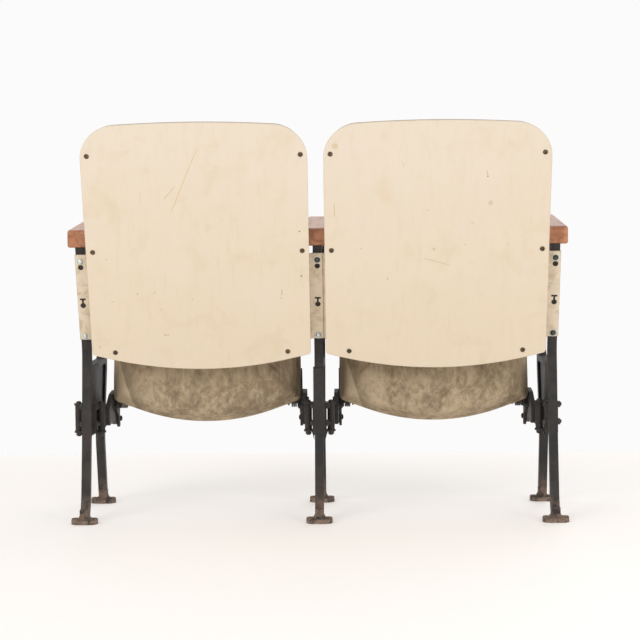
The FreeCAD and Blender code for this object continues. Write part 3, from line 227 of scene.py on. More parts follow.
def cream_paint(name, marks=(), spots=(), edge_grime_and_shade=0.5, dirt=0.0):
    """Old brushed cream paint: mottled, streaked up and down, darker towards the bottom with
    painted shade, and darker along its edges with dirt and painted shade.
    """
    paint = Finish(name)
    broad = paint.noise(3.2, 4, 0.6)
    # Painted shade: the paint is darker towards the bottom
    height = paint.spread(paint.axis("Z"), BACK_LOW, BACK_HIGH, smooth=False)
    shade = paint.math("ADD", paint.math("MULTIPLY", height, 0.55),
                       paint.math("MULTIPLY", broad, 0.5))
    colour = paint.mix(paint.spread(shade, 0.2, 0.95), CREAM_PAINTED_SHADE, CREAM)
    streaks = paint.noise(1.0, 4, 0.65, place=paint.stretched((70, 40, 2.5)))
    colour = paint.tinted(colour, streaks, 0.48, 0.8, 0.3, linear(224, 204, 168))
    cloud = paint.noise(17, 5, 0.6, 0.4)
    colour = paint.tinted(colour, cloud, 0.5, 0.75, 0.34, linear(226, 203, 164))
    blush = paint.noise(6.5, 4, 0.6, 0.3)
    colour = paint.tinted(colour, blush, 0.5, 0.75, 0.5, linear(241, 224, 206))
    specks = paint.noise(420, 2, 0.5)
    colour = paint.tinted(colour, specks, 0.72, 0.80, 0.4, linear(176, 150, 108))
    # Dirt and painted shade along the edges and bends
    rim = paint.math("MULTIPLY", paint.edges(2.2 * MM), paint.spread(cloud, 0.35, 0.7, 0.4, 1.0))
    colour = paint.mix(paint.math("MULTIPLY", rim, edge_grime_and_shade), colour, GRIME_AND_SHADE)
    film = paint.noise(38, 5, 0.68, 0.5)
    colour = paint.tinted(colour, film, 0.42, 0.7, dirt, linear(176, 152, 112))
    wobble = paint.add("ShaderNodeTexNoise")
    wobble.inputs["Scale"].default_value = 60
    paint.feed(wobble.inputs["Vector"], paint.place)
    drift = paint.vector("SCALE", paint.vector("SUBTRACT", wobble.outputs["Color"], (0.5,) * 3),
                         SCRATCH_WOBBLE)
    place = paint.vector("ADD", paint.place, drift)
    groove = 0.0
    for start, end, width, tint, depth in marks:
        mask = paint.scratch(start, end, width, place)
        colour = paint.mix(paint.math("MULTIPLY", mask, depth), colour, tint)
        groove = paint.math("ADD", groove, mask)
    for centre, radius, tint, depth in spots:
        colour = paint.mix(paint.math("MULTIPLY", paint.spot(centre, radius), depth), colour, tint)
    brushed = paint.noise(1.0, 3, 0.6, place=paint.stretched((420, 200, 9)))
    relief = paint.math("SUBTRACT", paint.math("ADD", paint.math("MULTIPLY", brushed, 0.4),
                                               paint.noise(30, 3, 0.6)),
                        paint.math("MULTIPLY", groove, 0.8))
    paint.bump(relief, 0.22, 0.6 * MM, edge=2.4 * MM)
    sheen = paint.spread(paint.noise(24, 4, 0.6), 0.3, 0.8, 0.34, 0.52)
    return paint.coat(colour, sheen, Specular_IOR_Level=0.42)


def cast_iron():
    """Black stove paint over a sandy casting, rubbed at the edges and rusty at the feet."""
    iron = Finish("cast_iron")
    cloud = iron.noise(22, 5, 0.62, 0.3)
    colour = iron.mix(iron.spread(cloud, 0.35, 0.7), linear(45, 43, 42), linear(63, 59, 56))
    plum = iron.noise(9, 3, 0.5)
    colour = iron.tinted(colour, plum, 0.55, 0.75, 0.5, linear(78, 62, 60))
    lightened = iron.math("MULTIPLY", iron.edges(1.8 * MM), iron.spread(cloud, 0.4, 0.62, 0.1, 0.7))
    colour = iron.mix(lightened, colour, linear(116, 105, 94))
    low = iron.spread(iron.axis("Z"), RUST_HIGH, RUST_FULL)
    rust = iron.math("MULTIPLY", low, iron.spread(iron.noise(60, 5, 0.7), 0.36, 0.6))
    colour = iron.mix(iron.math("MULTIPLY", rust, 0.85), colour, linear(146, 122, 106))
    dust = iron.math("MULTIPLY", iron.spread(iron.axis("Z"), DUST_HIGH, 0.0),
                     iron.spread(iron.noise(150, 3, 0.6), 0.4, 0.7))
    colour = iron.mix(iron.math("MULTIPLY", dust, 0.5), colour, linear(170, 152, 134))
    grain = iron.math("ADD", iron.noise(520, 3, 0.6),
                      iron.math("MULTIPLY", iron.noise(90, 3, 0.5), 1.4))
    iron.bump(grain, 0.35, 0.5 * MM, edge=1.6 * MM)
    rough = iron.math("ADD", iron.spread(cloud, 0.3, 0.7, 0.5, 0.64),
                      iron.math("MULTIPLY", rust, 0.25), clamp=True)
    return iron.coat(colour, rough, Specular_IOR_Level=0.3)


def arm_wood():
    """Varnished red-brown hardwood with its grain along the arm."""
    wood = Finish("arm_wood")
    rings = wood.noise(1.0, 5, 0.6, 1.2, place=wood.stretched((38, 3.2, 46)))
    colour = wood.mix(wood.spread(rings, 0.32, 0.68), linear(164, 103, 68), linear(208, 145, 100))
    pores = wood.noise(1.0, 3, 0.7, place=wood.stretched((520, 16, 640)))
    colour = wood.tinted(colour, pores, 0.56, 0.72, 0.6, linear(104, 54, 36))
    patch = wood.noise(7, 3, 0.5)
    colour = wood.tinted(colour, patch, 0.45, 0.75, 0.4, linear(164, 96, 66))
    worn = wood.math("MULTIPLY", wood.edges(2.5 * MM), wood.spread(patch, 0.35, 0.65, 0.2, 0.8))
    colour = wood.mix(worn, colour, linear(214, 152, 112))
    scuffs = wood.noise(1.0, 2, 0.5, place=wood.stretched((240, 30, 240), (0, 0, 0.4)))
    colour = wood.tinted(colour, scuffs, 0.7, 0.78, 0.35, linear(205, 160, 130))
    wood.bump(wood.math("ADD", pores, wood.math("MULTIPLY", rings, 0.5)), 0.16, 0.35 * MM,
              edge=5 * MM)
    rough = wood.spread(wood.noise(40, 4, 0.6), 0.3, 0.75, 0.27, 0.46)
    return wood.coat(colour, rough, Coat_Weight=0.25, Coat_Roughness=0.28)


CREASE_WIDTH = 1 * MM
CREASE_SHADE = 34 * MM


def velvet(name, turn, creases=()):
    """Taupe mohair velvet, crushed into patches, with painted shade inside a crease and a painted
    lit band beyond it.
    """
    pile = Finish(name)
    warp = pile.noise(9, 3, 0.6, 0.2)
    patches = pile.noise(1.0, 5, 0.62, 0.25, place=pile.stretched((16, 24, 11), turn))
    brushed = pile.noise(1.0, 5, 0.72, 0.15, place=pile.stretched((85, 150, 34), turn))
    tone = pile.math("ADD", pile.math("MULTIPLY", patches, 0.52),
                     pile.math("MULTIPLY", brushed, 0.48))
    colour = pile.mix(pile.spread(tone, 0.37, 0.63), linear(143, 124, 100), linear(207, 186, 154))
    colour = pile.tinted(colour, warp, 0.52, 0.78, 0.4, linear(162, 138, 108))
    strokes = pile.noise(1.0, 3, 0.7, 0.1, place=pile.stretched((220, 320, 36), turn))
    colour = pile.tinted(colour, strokes, 0.54, 0.78, 0.5, linear(222, 204, 176))
    for foot, outward in creases:
        off = pile.vector("DOT_PRODUCT", pile.vector("SUBTRACT", pile.place, tuple(foot)),
                          tuple(outward))
        # Painted shade inside the crease
        hollow = pile.math("MULTIPLY", pile.spread(off, -CREASE_SHADE, -CREASE_WIDTH),
                           pile.spread(off, 2 * CREASE_WIDTH, -CREASE_WIDTH))
        colour = pile.mix(pile.math("MULTIPLY", hollow, 0.5), colour, linear(122, 104, 82))
        # Painted light: the side band beyond the crease is lighter, as if lit
        lightened = pile.spread(off, -CREASE_WIDTH, 3 * CREASE_WIDTH, 0, 0.5)
        colour = pile.mix(lightened, colour, linear(214, 192, 160))
    fine = pile.noise(1300, 2, 0.6)
    colour = pile.tinted(colour, fine, 0.4, 0.75, 0.28, linear(112, 97, 78))
    relief = pile.math("ADD", pile.math("MULTIPLY", fine, 0.4),
                       pile.math("ADD", brushed, pile.math("MULTIPLY", patches, 1.1)))
    pile.bump(relief, 0.45, 1.0 * MM)
    return pile.coat(colour, 0.92, Sheen_Weight=0.3, Sheen_Roughness=0.45,
                     Sheen_Tint=linear(226, 212, 188), Specular_IOR_Level=0.12)


def plain_metal(name, light, dark, roughness, metallic, dirt):
    """Metal or painted steel with fine scratches, dull patches and dirt in its edges."""
    metal = Finish(name)
    cloud = metal.noise(55, 5, 0.65, 0.3)
    colour = metal.mix(metal.spread(cloud, 0.35, 0.68), dark, light)
    edge = metal.math("MULTIPLY", metal.edges(0.8 * MM), metal.spread(cloud, 0.3, 0.6, 0.3, 0.9))
    colour = metal.mix(edge, colour, dirt)
    metal.bump(metal.noise(260, 3, 0.6), 0.18, 0.3 * MM, edge=0.5 * MM)
    rough = metal.spread(cloud, 0.3, 0.7, roughness * 0.8, min(1.0, roughness * 1.3))
    return metal.coat(colour, rough, metallic)


def plywood():
    """Birch plywood: thin veneers through its thickness, grain up the board."""
    ply = Finish("plywood")
    grain = ply.noise(1.0, 5, 0.6, 0.8, place=ply.stretched((60, 60, 4)))
    colour = ply.mix(ply.spread(grain, 0.3, 0.7), linear(148, 112, 74), linear(186, 150, 106))
    depth = ply.vector("DOT_PRODUCT", ply.place, tuple(REARWARD / VENEER))
    layer = ply.math("PINGPONG", depth, 1.0)
    colour = ply.tinted(colour, layer, 0.35, 0.65, 0.6, linear(112, 80, 50))
    colour = ply.tinted(colour, ply.noise(28, 4, 0.6), 0.5, 0.8, 0.5, linear(96, 74, 50))
    ply.bump(grain, 0.3, 0.5 * MM)
    return ply.coat(colour, ply.spread(grain, 0.3, 0.7, 0.55, 0.75))


def frame_wood():
    """Plain beech rails of the seat's frame."""
    wood = Finish("frame_wood")
    grain = wood.noise(1.0, 5, 0.6, 0.8, place=wood.stretched((6, 60, 60)))
    colour = wood.mix(wood.spread(grain, 0.3, 0.7), linear(170, 130, 88), linear(200, 164, 120))
    colour = wood.tinted(colour, wood.noise(20, 4), 0.5, 0.8, 0.5, linear(120, 92, 62))
    wood.bump(grain, 0.3, 0.5 * MM)
    return wood.coat(colour, wood.spread(grain, 0.3, 0.7, 0.5, 0.7))


def rubber():
    """Perished black rubber."""
    gum = Finish("rubber")
    cloud = gum.noise(130, 4, 0.6)
    colour = gum.mix(gum.spread(cloud, 0.35, 0.7), linear(38, 37, 36), linear(62, 59, 55))
    gum.bump(gum.noise(700, 3, 0.6), 0.3, 0.3 * MM)
    return gum.coat(colour, gum.spread(cloud, 0.3, 0.7, 0.65, 0.85))


# Heights up the slope of the two bolts on each post, and the bolts that have gone black
BOLT_HIGH = 181.4 * MM
BOLT_LOW = 9.5 * MM
BOLT_REAR = 5 * MM
BOLT_REACH = 16 * MM
DARK_BOLTS = ((POST_X["middle"], BOLT_HIGH), (POST_X["right"], BOLT_HIGH),
              (POST_X["right"], BOLT_LOW))


def wing_bolts():
    """Domed bolts, some bright and some that have gone black."""
    steel = Finish("wing_bolt_steel")
    cloud = steel.noise(140, 4, 0.6)
    bright = steel.mix(steel.spread(cloud, 0.35, 0.7), linear(196, 202, 198), linear(236, 240, 238))
    dull = steel.mix(steel.spread(cloud, 0.35, 0.7), linear(58, 58, 56), linear(104, 106, 102))
    black = 0.0
    for x, up in DARK_BOLTS:
        head = steel.spot(leaning(x, BOLT_REAR, up), BOLT_REACH)
        black = steel.math("MAXIMUM", black, head)
    colour = steel.mix(black, bright, dull)
    steel.bump(steel.noise(420, 3, 0.6), 0.2, 0.3 * MM)
    return steel.coat(colour, steel.spread(cloud, 0.3, 0.7, 0.24, 0.42), 0.85)


# Marks on the two painted panels, in millimetres across and up the slope

YELLOW_SCRATCH = linear(214, 188, 120)
BROWN_SCRATCH = linear(176, 148, 96)
STAIN = linear(204, 176, 104)
NAIL = linear(84, 68, 48)

# Each scratch: its two ends, width, tint and depth of colour
SCRATCHES = {
    "left": (
        ((-12, 443), (57, 283), 1.2, YELLOW_SCRATCH, 0.75),
        ((39, 354), (68, 322), 0.9, BROWN_SCRATCH, 0.6),
        ((114, 348), (116, 308), 1.0, BROWN_SCRATCH, 0.22),
        ((-178, 122), (-178, 106), 1.6, STAIN, 0.8)),
    "right": (
        ((-103, 381), (-105, 369), 0.9, BROWN_SCRATCH, 0.8),
        ((216, 316), (215, 281), 0.8, BROWN_SCRATCH, 0.75),
        ((32, 190), (-33, 172), 0.8, BROWN_SCRATCH, 0.6),
        ((74, 404), (68, 388), 0.8, BROWN_SCRATCH, 0.35),
        ((-70, 272), (-80, 262), 0.8, BROWN_SCRATCH, 0.4))}
# Each stain or nail hole: its centre, radius, tint and depth of colour
STAINS = {
    "left": (
        ((132, 113), 2.2, STAIN, 0.9), ((95, 116), 3.4, STAIN, 0.35), ((185, 96), 2.4, STAIN, 0.5),
        ((-176, 101), 2.4, STAIN, 0.7), ((77, 18), 3.0, STAIN, 0.8), ((71, 18), 2.4, STAIN, 0.7),
        ((82, 77), 3.8, STAIN, 0.3), ((220, -8), 2.2, BROWN_SCRATCH, 0.7),
        ((195, 192), 2.0, BROWN_SCRATCH, 0.6), ((14, 100), 2.4, BROWN_SCRATCH, 0.35),
        ((-218, 251), 1.9, NAIL, 1.0), ((-220, 151), 2.1, NAIL, 1.0)),
    "right": (
        ((213, 436), 9.0, STAIN, 0.4), ((-112, 310), 7.5, BROWN_SCRATCH, 0.3),
        ((6, 209), 3.6, BROWN_SCRATCH, 0.4), ((20, 295), 2.4, BROWN_SCRATCH, 0.4),
        ((-60, 219), 2.2, BROWN_SCRATCH, 0.4), ((160, 212), 2.2, BROWN_SCRATCH, 0.5),
        ((104, 143), 2.2, BROWN_SCRATCH, 0.6), ((-105, 368), 2.0, NAIL, 0.8),
        ((-150, 218), 1.8, BROWN_SCRATCH, 0.45))}


def panel_paint(name):
    """The cream paint of one panel with its own scratches, stains and nail holes."""
    x = SEAT_X[name]

    def at(place):
        return leaning(x + place[0] * MM, PANEL_FACE, place[1] * MM)

    marks = [(at(start), at(end), width * MM, tint, depth)
             for start, end, width, tint, depth in SCRATCHES[name]]
    spots = [(at(centre), radius * MM, tint, depth) for centre, radius, tint, depth in STAINS[name]]
    return cream_paint("cream_panel_" + name, marks, spots)


def dress(material, *prefixes):
    """Gives a finish to every node whose name starts with one of the prefixes."""
    for name, node in nodes.items():
        if name.startswith(prefixes):
            node.data.materials.clear()
            node.data.materials.append(material)


iron = cast_iron()
dark_steel = plain_metal("dark_steel", linear(88, 82, 76), linear(56, 52, 49), 0.42, 0.55,
                         linear(120, 108, 96))
dress(iron, "standard_", "hinge_bracket_", "hinge_knuckle_", "hinge_arm_", "spare_sleeve")
dress(arm_wood(), "armrest_")
dress(dark_steel, "armrest_screws", "pivot_pin_", "swivel_bolts", "bracket_bolts", "bracket_nuts",
      "hinge_screws_")
dress(panel_paint("left"), "back_panel_left")
dress(panel_paint("right"), "back_panel_right")
# The wings are darker along their edges and bend with dirt and painted shade
dress(cream_paint("cream_wing", edge_grime_and_shade=0.9, dirt=0.55), "back_wing_")
dress(wing_bolts(), "wing_bolts")
dress(plain_metal("washer_zinc", linear(240, 240, 230), linear(216, 216, 204), 0.45, 0.3,
                  linear(150, 146, 130)), "wing_washers")
dress(plywood(), "back_board_")
dress(frame_wood(), "seat_frame_")
dress(plain_metal("spring_steel", linear(120, 112, 104), linear(84, 78, 72), 0.36, 0.8,
                  linear(100, 72, 52)), "lift_spring_", "seat_springs_")
dress(plain_metal("bush_brass", linear(196, 164, 92), linear(150, 120, 66), 0.34, 0.9,
                  linear(100, 80, 50)), "pivot_bushes_")
dress(plain_metal("pan_paint", linear(66, 63, 60), linear(56, 54, 52), 0.44, 0.1,
                  linear(122, 96, 78)), "seat_pan_")
dress(rubber(), "stop_buffers")
screw_bronze = plain_metal("screw_bronze", linear(122, 102, 78), linear(74, 60, 46), 0.38, 0.6,
                           linear(52, 42, 34))
dress(screw_bronze, "panel_screws_")


# Soft pieces

AIR_PRESSURE = 4
CLOTH_STEPS = 20
# How far a soft piece is drawn in before it fills, and how far it may then move
SLACK = 5 * MM
SWELL_LIMIT = 9 * MM
PAD_VOXEL = 7 * MM
CUSHION_VOXEL = 5.5 * MM


def link(name, mesh):
    piece = bpy.data.objects.new(name, mesh)
    bpy.context.scene.collection.objects.link(piece)
    return piece


def settle(piece):
    """Applies a piece's modifiers to its mesh."""
    bpy.context.view_layer.update()
    ready = piece.evaluated_get(bpy.context.evaluated_depsgraph_get())
    mesh = bpy.data.meshes.new_from_object(ready)
    piece.modifiers.clear()
    piece.data = mesh


def smooth(piece):
    for polygon in piece.data.polygons:
        polygon.use_smooth = True


def inflate(piece, free):
    """Draws in the free part of a soft piece and lets cloth under air pressure round it out."""
    start = [vertex.co.copy() for vertex in piece.data.vertices]
    normals = [vertex.normal.copy() for vertex in piece.data.vertices]
    shares = [free(place) for place in start]
    for vertex, normal, share in zip(piece.data.vertices, normals, shares):
        vertex.co -= normal * SLACK * share
    held = piece.vertex_groups.new(name="held")
    for index, share in enumerate(shares):
        held.add([index], 1.0 - share, "REPLACE")
    cloth = piece.modifiers.new("cloth", "CLOTH")
    cloth.settings.use_pressure = True
    cloth.settings.uniform_pressure_force = AIR_PRESSURE
    cloth.settings.vertex_group_mass = "held"
    cloth.settings.effector_weights.gravity = 0
    scene = bpy.context.scene
    for step in range(CLOTH_STEPS):
        scene.frame_set(step + 1)
    settle(piece)
    scene.frame_set(1)
    for vertex, place in zip(piece.data.vertices, start):
        move = vertex.co - place
        if move.length > SWELL_LIMIT:
            vertex.co = place + move.normalized() * SWELL_LIMIT
    piece.vertex_groups.clear()


def puffed(name, source, free, voxel):
    """The cover of a soft solid: an even mesh, filled out where it is free."""
    piece = link(name, nodes[source].data.copy())
    piece.data.materials.clear()
    even = piece.modifiers.new("even", "REMESH")
    even.mode = "VOXEL"
    even.voxel_size = voxel
    settle(piece)
    inflate(piece, free)
    finer = piece.modifiers.new("finer", "SUBSURF")
    finer.levels = 1
    finer.render_levels = 1
    settle(piece)
    smooth(piece)
    return piece


# A crease beside each seat's outer edge: a point on it, and the direction out of the seat
CREASE_FOOT = Vector((168, 0, 262)) * MM
CREASE_OUT = Vector((103, 0, -32.5)).normalized()


def creases_of(x):
    """The crease that parts a seat's side band, painted lighter as if lit, from its face, slanting
    down and inwards.
    """
    return [(CREASE_FOOT + Vector((x, 0, 0)), CREASE_OUT)]


PAD_REAR = 6 * MM
FRAME_TOP = 50 * MM
# Soft pieces are held near what carries them and free over the next stretch
PAD_HELD = 4 * MM
CUSHION_HELD = 6 * MM
FREE_OVER = 12 * MM


def back_depth(place):
    """How far a point lies in front of the board's front face."""
    return PAD_REAR - (place - LEAN_ORIGIN).dot(REARWARD)


def seat_height(place):
    """The height of a point over the pivot, with the seat laid flat."""
    turn = Matrix.Rotation(TIP_UP, 3, "X")
    return (turn @ (place - PIVOT)).z


def back_free(place):
    """0 where a back pad is fixed to its board, 1 where it is free."""
    return max(0.0, min(1.0, (back_depth(place) - PAD_HELD) / FREE_OVER))


def seat_free(place):
    """0 where a cushion is fixed to its frame, 1 where it is free."""
    return max(0.0, min(1.0, (seat_height(place) - FRAME_TOP - CUSHION_HELD) / FREE_OVER))


def wrinkled(piece, share_of, size, depth, seed):
    """Adds shallow slack wrinkles along the normals, from a fixed noise."""
    offset = Vector((seed, seed * 2.3, seed * 0.7))
    normals = [vertex.normal.copy() for vertex in piece.data.vertices]
    for vertex, normal in zip(piece.data.vertices, normals):
        share = share_of(vertex.co)
        if share:
            swell = noise.fractal(vertex.co / size + offset, 1.0, 2.0, 3)
            vertex.co += normal * swell * depth * share


WELT_DEPTH = 4 * MM
WELT_RADIUS = 2.6 * MM
WELT_STEP = 9 * MM


def rim_of(piece, place, normal):
    """The points of the longest loop where a plane cuts a piece, in order."""
    slice_of = bmesh.new()
    slice_of.from_mesh(piece.data)
    found = bmesh.ops.bisect_plane(slice_of, geom=slice_of.verts[:] + slice_of.edges[:]
                                   + slice_of.faces[:], plane_co=place, plane_no=normal)
    edges = {item for item in found["geom_cut"] if isinstance(item, bmesh.types.BMEdge)}
    loops = []
    while edges:
        edge = min(edges, key=lambda item: item.index)
        edges.discard(edge)
        loop = [edge.verts[0], edge.verts[1]]
        step = edge
        while step:
            step = next((item for item in loop[-1].link_edges if item in edges), None)
            if step:
                edges.discard(step)
                loop.append(step.other_vert(loop[-1]))
        loops.append([vertex.co.copy() for vertex in loop])
    slice_of.free()
    return max(loops, key=len)


def welt(name, piece, place, normal):
    """A covered cord sewn round a pad where a plane cuts it."""
    rim = rim_of(piece, place, normal)
    points = [rim[0]]
    for point in rim[1:]:
        if (point - points[-1]).length > WELT_STEP:
            points.append(point)
    curve = bpy.data.curves.new(name, "CURVE")
    curve.dimensions = "3D"
    curve.bevel_depth = WELT_RADIUS
    curve.bevel_resolution = 3
    spline = curve.splines.new("NURBS")
    spline.points.add(len(points) - 1)
    for knot, point in zip(spline.points, points):
        knot.co = (*point, 1.0)
    spline.use_cyclic_u = True
    spline.order_u = 3
    path = link(name, curve)
    solid = bpy.data.meshes.new_from_object(path)
    bpy.data.objects.remove(path)
    cord = link(name, solid)
    smooth(cord)
    return cord


# Size, depth and start of the wrinkles
PAD_WRINKLES = (90 * MM, 0.9 * MM, 3)
CUSHION_WRINKLES = (80 * MM, 1.0 * MM, 8)
# Turn of the velvet's nap
PAD_NAP = (0, 0, 0)
SEAT_NAP = (0.3, 0, 0)


def back_pad(side, x):
    """The padded front of a back, with a welt where it meets the board."""
    pad = puffed("back_pad_cover_" + side, "back_pad_" + side, back_free, PAD_VOXEL)
    size, depth, start = PAD_WRINKLES
    wrinkled(pad, back_free, size, depth, start + x)
    pad.data.materials.append(velvet("velvet_back_" + side, PAD_NAP))
    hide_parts("back_pad_" + side)
    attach(pad, "root")
    edge = welt("back_pad_welt_" + side, pad, leaning(x, PAD_REAR - WELT_DEPTH, 0), REARWARD)
    edge.data.materials.append(pad.data.materials[0])
    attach(edge, "root")


def seat_cushion(side, x):
    """The upholstered seat, with painted shade and painted light marking a crease beside the outer
    edge.
    """
    cushion = puffed("seat_cushion_cover_" + side, "seat_cushion_" + side, seat_free, CUSHION_VOXEL)
    size, depth, start = CUSHION_WRINKLES
    wrinkled(cushion, seat_free, size, depth, start + x)
    cushion.data.materials.append(velvet("velvet_seat_" + side, SEAT_NAP, creases_of(x)))
    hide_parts("seat_cushion_" + side)
    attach(cushion, "seat_" + side)


for side, x in SEAT_X.items():
    back_pad(side, x)
    seat_cushion(side, x)


# Slotted screws of the painted panels

# Places of three screws on each side, in millimetres across and up the slope
PANEL_SCREWS = ((223, 419), (223, 208), (187.5, -22))
SCREW_HEAD = 5.4 * MM
SCREW_RISE = 2.4 * MM
SCREW_SHANK = 1.9 * MM
SCREW_LONG = 14 * MM
SLOT_WIDTH = 1.3 * MM
SLOT_HEIGHT = 2.2 * MM
SLOT_LENGTH = 2.6 * SCREW_HEAD
HEAD_RINGS = 7
HEAD_SIDES = 28


def slotted_head(turn):
    """A domed screw head with its slot, above the panel's face, and its shank below."""
    mesh = bmesh.new()

    def ring(radius, height):
        angles = [2 * math.pi * step / HEAD_SIDES for step in range(HEAD_SIDES)]
        return [mesh.verts.new((radius * math.cos(angle), radius * math.sin(angle), height))
                for angle in angles]

    rows = [[mesh.verts.new((0, 0, SCREW_RISE))]]
    for step in range(1, HEAD_RINGS + 1):
        angle = math.pi / 2 * step / HEAD_RINGS
        rows.append(ring(SCREW_HEAD * math.sin(angle), SCREW_RISE * math.cos(angle)))
    rows.append(ring(SCREW_SHANK, 0.0))
    rows.append(ring(SCREW_SHANK, -SCREW_LONG))
    for upper, lower in zip(rows, rows[1:]):
        for i in range(HEAD_SIDES):
            j = (i + 1) % HEAD_SIDES
            if len(upper) == 1:
                mesh.faces.new((upper[0], lower[i], lower[j]))
            else:
                mesh.faces.new((upper[i], lower[i], lower[j], upper[j]))
    mesh.faces.new(rows[-1])
    data = bpy.data.meshes.new("screw")
    mesh.to_mesh(data)
    mesh.free()
    screw = link("screw", data)
    slot = bmesh.new()
    bmesh.ops.create_cube(slot, size=1.0, matrix=Matrix.Translation((0, 0, SCREW_RISE))
                          @ Matrix.Diagonal((SLOT_LENGTH, SLOT_WIDTH, SLOT_HEIGHT, 1)))
    cutter_data = bpy.data.meshes.new("slot")
    slot.to_mesh(cutter_data)
    slot.free()
    cutter = link("slot", cutter_data)
    carve = screw.modifiers.new("slot", "BOOLEAN")
    carve.object = cutter
    carve.operation = "DIFFERENCE"
    carve.solver = "EXACT"
    settle(screw)
    bpy.data.objects.remove(cutter)
    screw.data.transform(Matrix.Rotation(turn, 4, "Z"))
    data = screw.data
    bpy.data.objects.remove(screw)
    return data


def joined(name, meshes):
    """One piece made of several meshes."""
    whole = bmesh.new()
    for mesh in meshes:
        whole.from_mesh(mesh)
    data = bpy.data.meshes.new(name)
    whole.to_mesh(data)
    whole.free()
    return link(name, data)


# How far each slot was turned home
SCREW_TURNS = (0.3, 1.9, 0.9, 2.6, 1.3, 0.1)


def panel_screws(side, x):
    """The six slotted screws of one painted panel."""
    meshes = []
    for index, (across, up) in enumerate(PANEL_SCREWS):
        for hand in (-1, 1):
            head = slotted_head(SCREW_TURNS[index * 2 + (hand > 0)])
            spot = leaning(x + hand * across * MM, PANEL_FACE, up * MM)
            head.transform(Matrix.Translation(spot) @ Matrix.Rotation(-LEAN - math.pi / 2, 4, "X"))
            meshes.append(head)
    screws = joined("slotted_screws_" + side, meshes)
    screws.data.materials.append(screw_bronze)
    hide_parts("panel_screws_" + side)
    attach(screws, "root")


for side, x in SEAT_X.items():
    panel_screws(side, x)


# Floor, backdrop, light and camera

WALL_Y = -0.95
WALL_HEIGHT = 6.0
FLOOR_REACH = 14.0
FLOOR_LIFT = 0.17
WORLD_LIGHT = 0.72
WORLD_SEEN = 1.0
AIM = Vector((0, 0, 0.45))


def flat_sheet(name, corners):
    data = bpy.data.meshes.new(name)
    data.from_pydata(corners, [], [(0, 1, 2, 3)])
    return link(name, data)


def camera_rays(finish):
    """1 for what the camera sees, straight or in metal and glass."""
    rays = finish.add("ShaderNodeLightPath")
    return finish.math("MAXIMUM", rays.outputs["Is Camera Ray"],
                       finish.math("MAXIMUM", rays.outputs["Is Glossy Ray"],
                                   rays.outputs["Is Transmission Ray"]))


def surface_of(finish):
    """The surface socket of a finish's output."""
    output = next(node for node in finish.tree.nodes if node.type == "OUTPUT_MATERIAL")
    return output.inputs["Surface"]


def floor_finish():
    """A pale floor that keeps the object's shadow and is a little lifted to the camera."""
    ground = Finish("pale_floor")
    tone = ground.noise(0.9, 2, 0.5)
    colour = ground.mix(ground.spread(tone, 0.2, 0.8), linear(247, 243, 240), linear(245, 240, 236))
    ground.coat(colour, ground.spread(tone, 0.3, 0.7, 0.6, 0.7), Specular_IOR_Level=0.25)
    lift = ground.add("ShaderNodeEmission")
    lift.inputs["Color"].default_value = linear(255, 252, 249)
    ground.feed(lift.inputs["Strength"], ground.math("MULTIPLY", camera_rays(ground), FLOOR_LIFT))
    both = ground.add("ShaderNodeAddShader")
    ground.feed(both.inputs[0], ground.shader.outputs[0])
    ground.feed(both.inputs[1], lift.outputs[0])
    ground.feed(surface_of(ground), both.outputs[0])
    return ground.material


def wall_finish():
    """White to the camera from its own side, and clear from behind, so every view is free."""
    wall = Finish("pale_backdrop")
    shine = wall.add("ShaderNodeEmission")
    shine.inputs["Color"].default_value = linear(252, 251, 251)
    shine.inputs["Strength"].default_value = 1.0
    clear = wall.add("ShaderNodeBsdfTransparent")
    seen = camera_rays(wall)
    front = wall.math("SUBTRACT", 1.0, wall.add("ShaderNodeNewGeometry").outputs["Backfacing"])
    blend = wall.add("ShaderNodeMixShader")
    wall.feed(blend.inputs[0], wall.math("MULTIPLY", seen, front))
    wall.feed(blend.inputs[1], clear.outputs[0])
    wall.feed(blend.inputs[2], shine.outputs[0])
    wall.feed(surface_of(wall), blend.outputs[0])
    return wall.material


floor = flat_sheet("floor", [(-FLOOR_REACH, -FLOOR_REACH, 0), (FLOOR_REACH, -FLOOR_REACH, 0),
                             (FLOOR_REACH, FLOOR_REACH, 0), (-FLOOR_REACH, FLOOR_REACH, 0)])
floor.data.materials.append(floor_finish())
backdrop = flat_sheet("backdrop", [(-FLOOR_REACH, WALL_Y, 0), (-FLOOR_REACH, WALL_Y, WALL_HEIGHT),
                                   (FLOOR_REACH, WALL_Y, WALL_HEIGHT), (FLOOR_REACH, WALL_Y, 0)])
backdrop.data.materials.append(wall_finish())

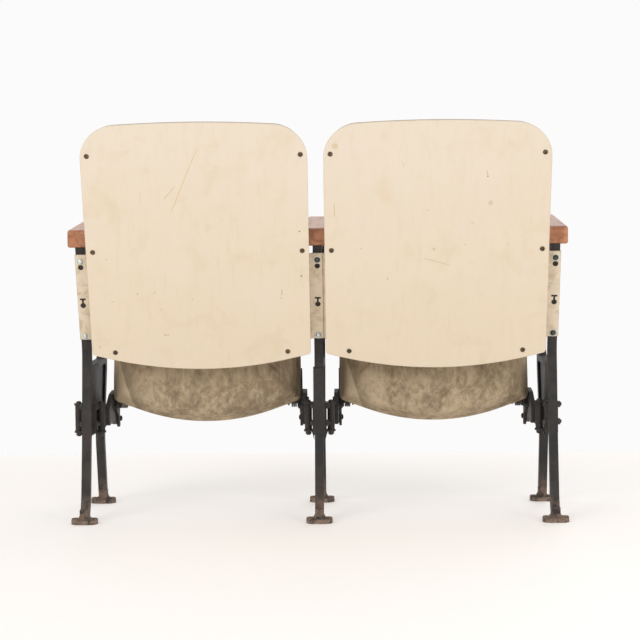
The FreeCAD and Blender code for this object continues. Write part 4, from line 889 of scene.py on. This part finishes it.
world = bpy.data.worlds.new("studio")
world.use_nodes = True
background = world.node_tree.nodes["Background"]
background.inputs["Color"].default_value = (1, 1, 1, 1)
rays = world.node_tree.nodes.new("ShaderNodeLightPath")
seen = world.node_tree.nodes.new("ShaderNodeMapRange")
seen.inputs["To Min"].default_value = WORLD_LIGHT
seen.inputs["To Max"].default_value = WORLD_SEEN
world.node_tree.links.new(rays.outputs["Is Camera Ray"], seen.inputs["Value"])
world.node_tree.links.new(seen.outputs["Result"], background.inputs["Strength"])
bpy.context.scene.world = world


def softbox(name, place, power, width):
    """A square lamp that points at the middle of the object."""
    lamp = bpy.data.lights.new(name, "AREA")
    lamp.energy = power
    lamp.size = width
    holder = bpy.data.objects.new(name, lamp)
    bpy.context.scene.collection.objects.link(holder)
    holder.location = place
    holder.rotation_euler = (AIM - Vector(place)).to_track_quat("-Z", "Y").to_euler()


softbox("key", (2.4, 3.4, 2.7), 46, 2.0)
softbox("fill", (-3.0, 3.0, 1.8), 26, 2.0)
softbox("front", (-1.5, -3.5, 3.0), 30, 2.5)

# The camera was fitted to the photograph: 3.85 m behind the row, a little to its right
EYE = Vector((-90.2, 3849.6, 660.5)) * MM
YAW, PITCH, ROLL = 0.023, 0.060, 0.009
FOCAL_PIXELS = 1736
PICTURE = 640
SENSOR = 36


def camera_turn():
    """The camera's turn from its yaw, pitch and roll, looking forward along the row's depth."""
    ahead = Vector((math.sin(YAW), -math.cos(YAW), 0))
    right = Vector((-math.cos(YAW), -math.sin(YAW), 0))
    forward = ahead * math.cos(PITCH) - Vector((0, 0, 1)) * math.sin(PITCH)
    up = right.cross(forward)
    right_rolled = right * math.cos(ROLL) - up * math.sin(ROLL)
    up_rolled = right * math.sin(ROLL) + up * math.cos(ROLL)
    return Matrix((right_rolled, up_rolled, -forward)).transposed().to_4x4()


lens = bpy.data.cameras.new("camera")
lens.sensor_width = SENSOR
lens.lens = FOCAL_PIXELS / PICTURE * SENSOR
eye = bpy.data.objects.new("camera", lens)
bpy.context.scene.collection.objects.link(eye)
eye.matrix_world = Matrix.Translation(EYE) @ camera_turn()
bpy.context.scene.camera = eye
bpy.context.scene.view_settings.view_transform = "Standard"
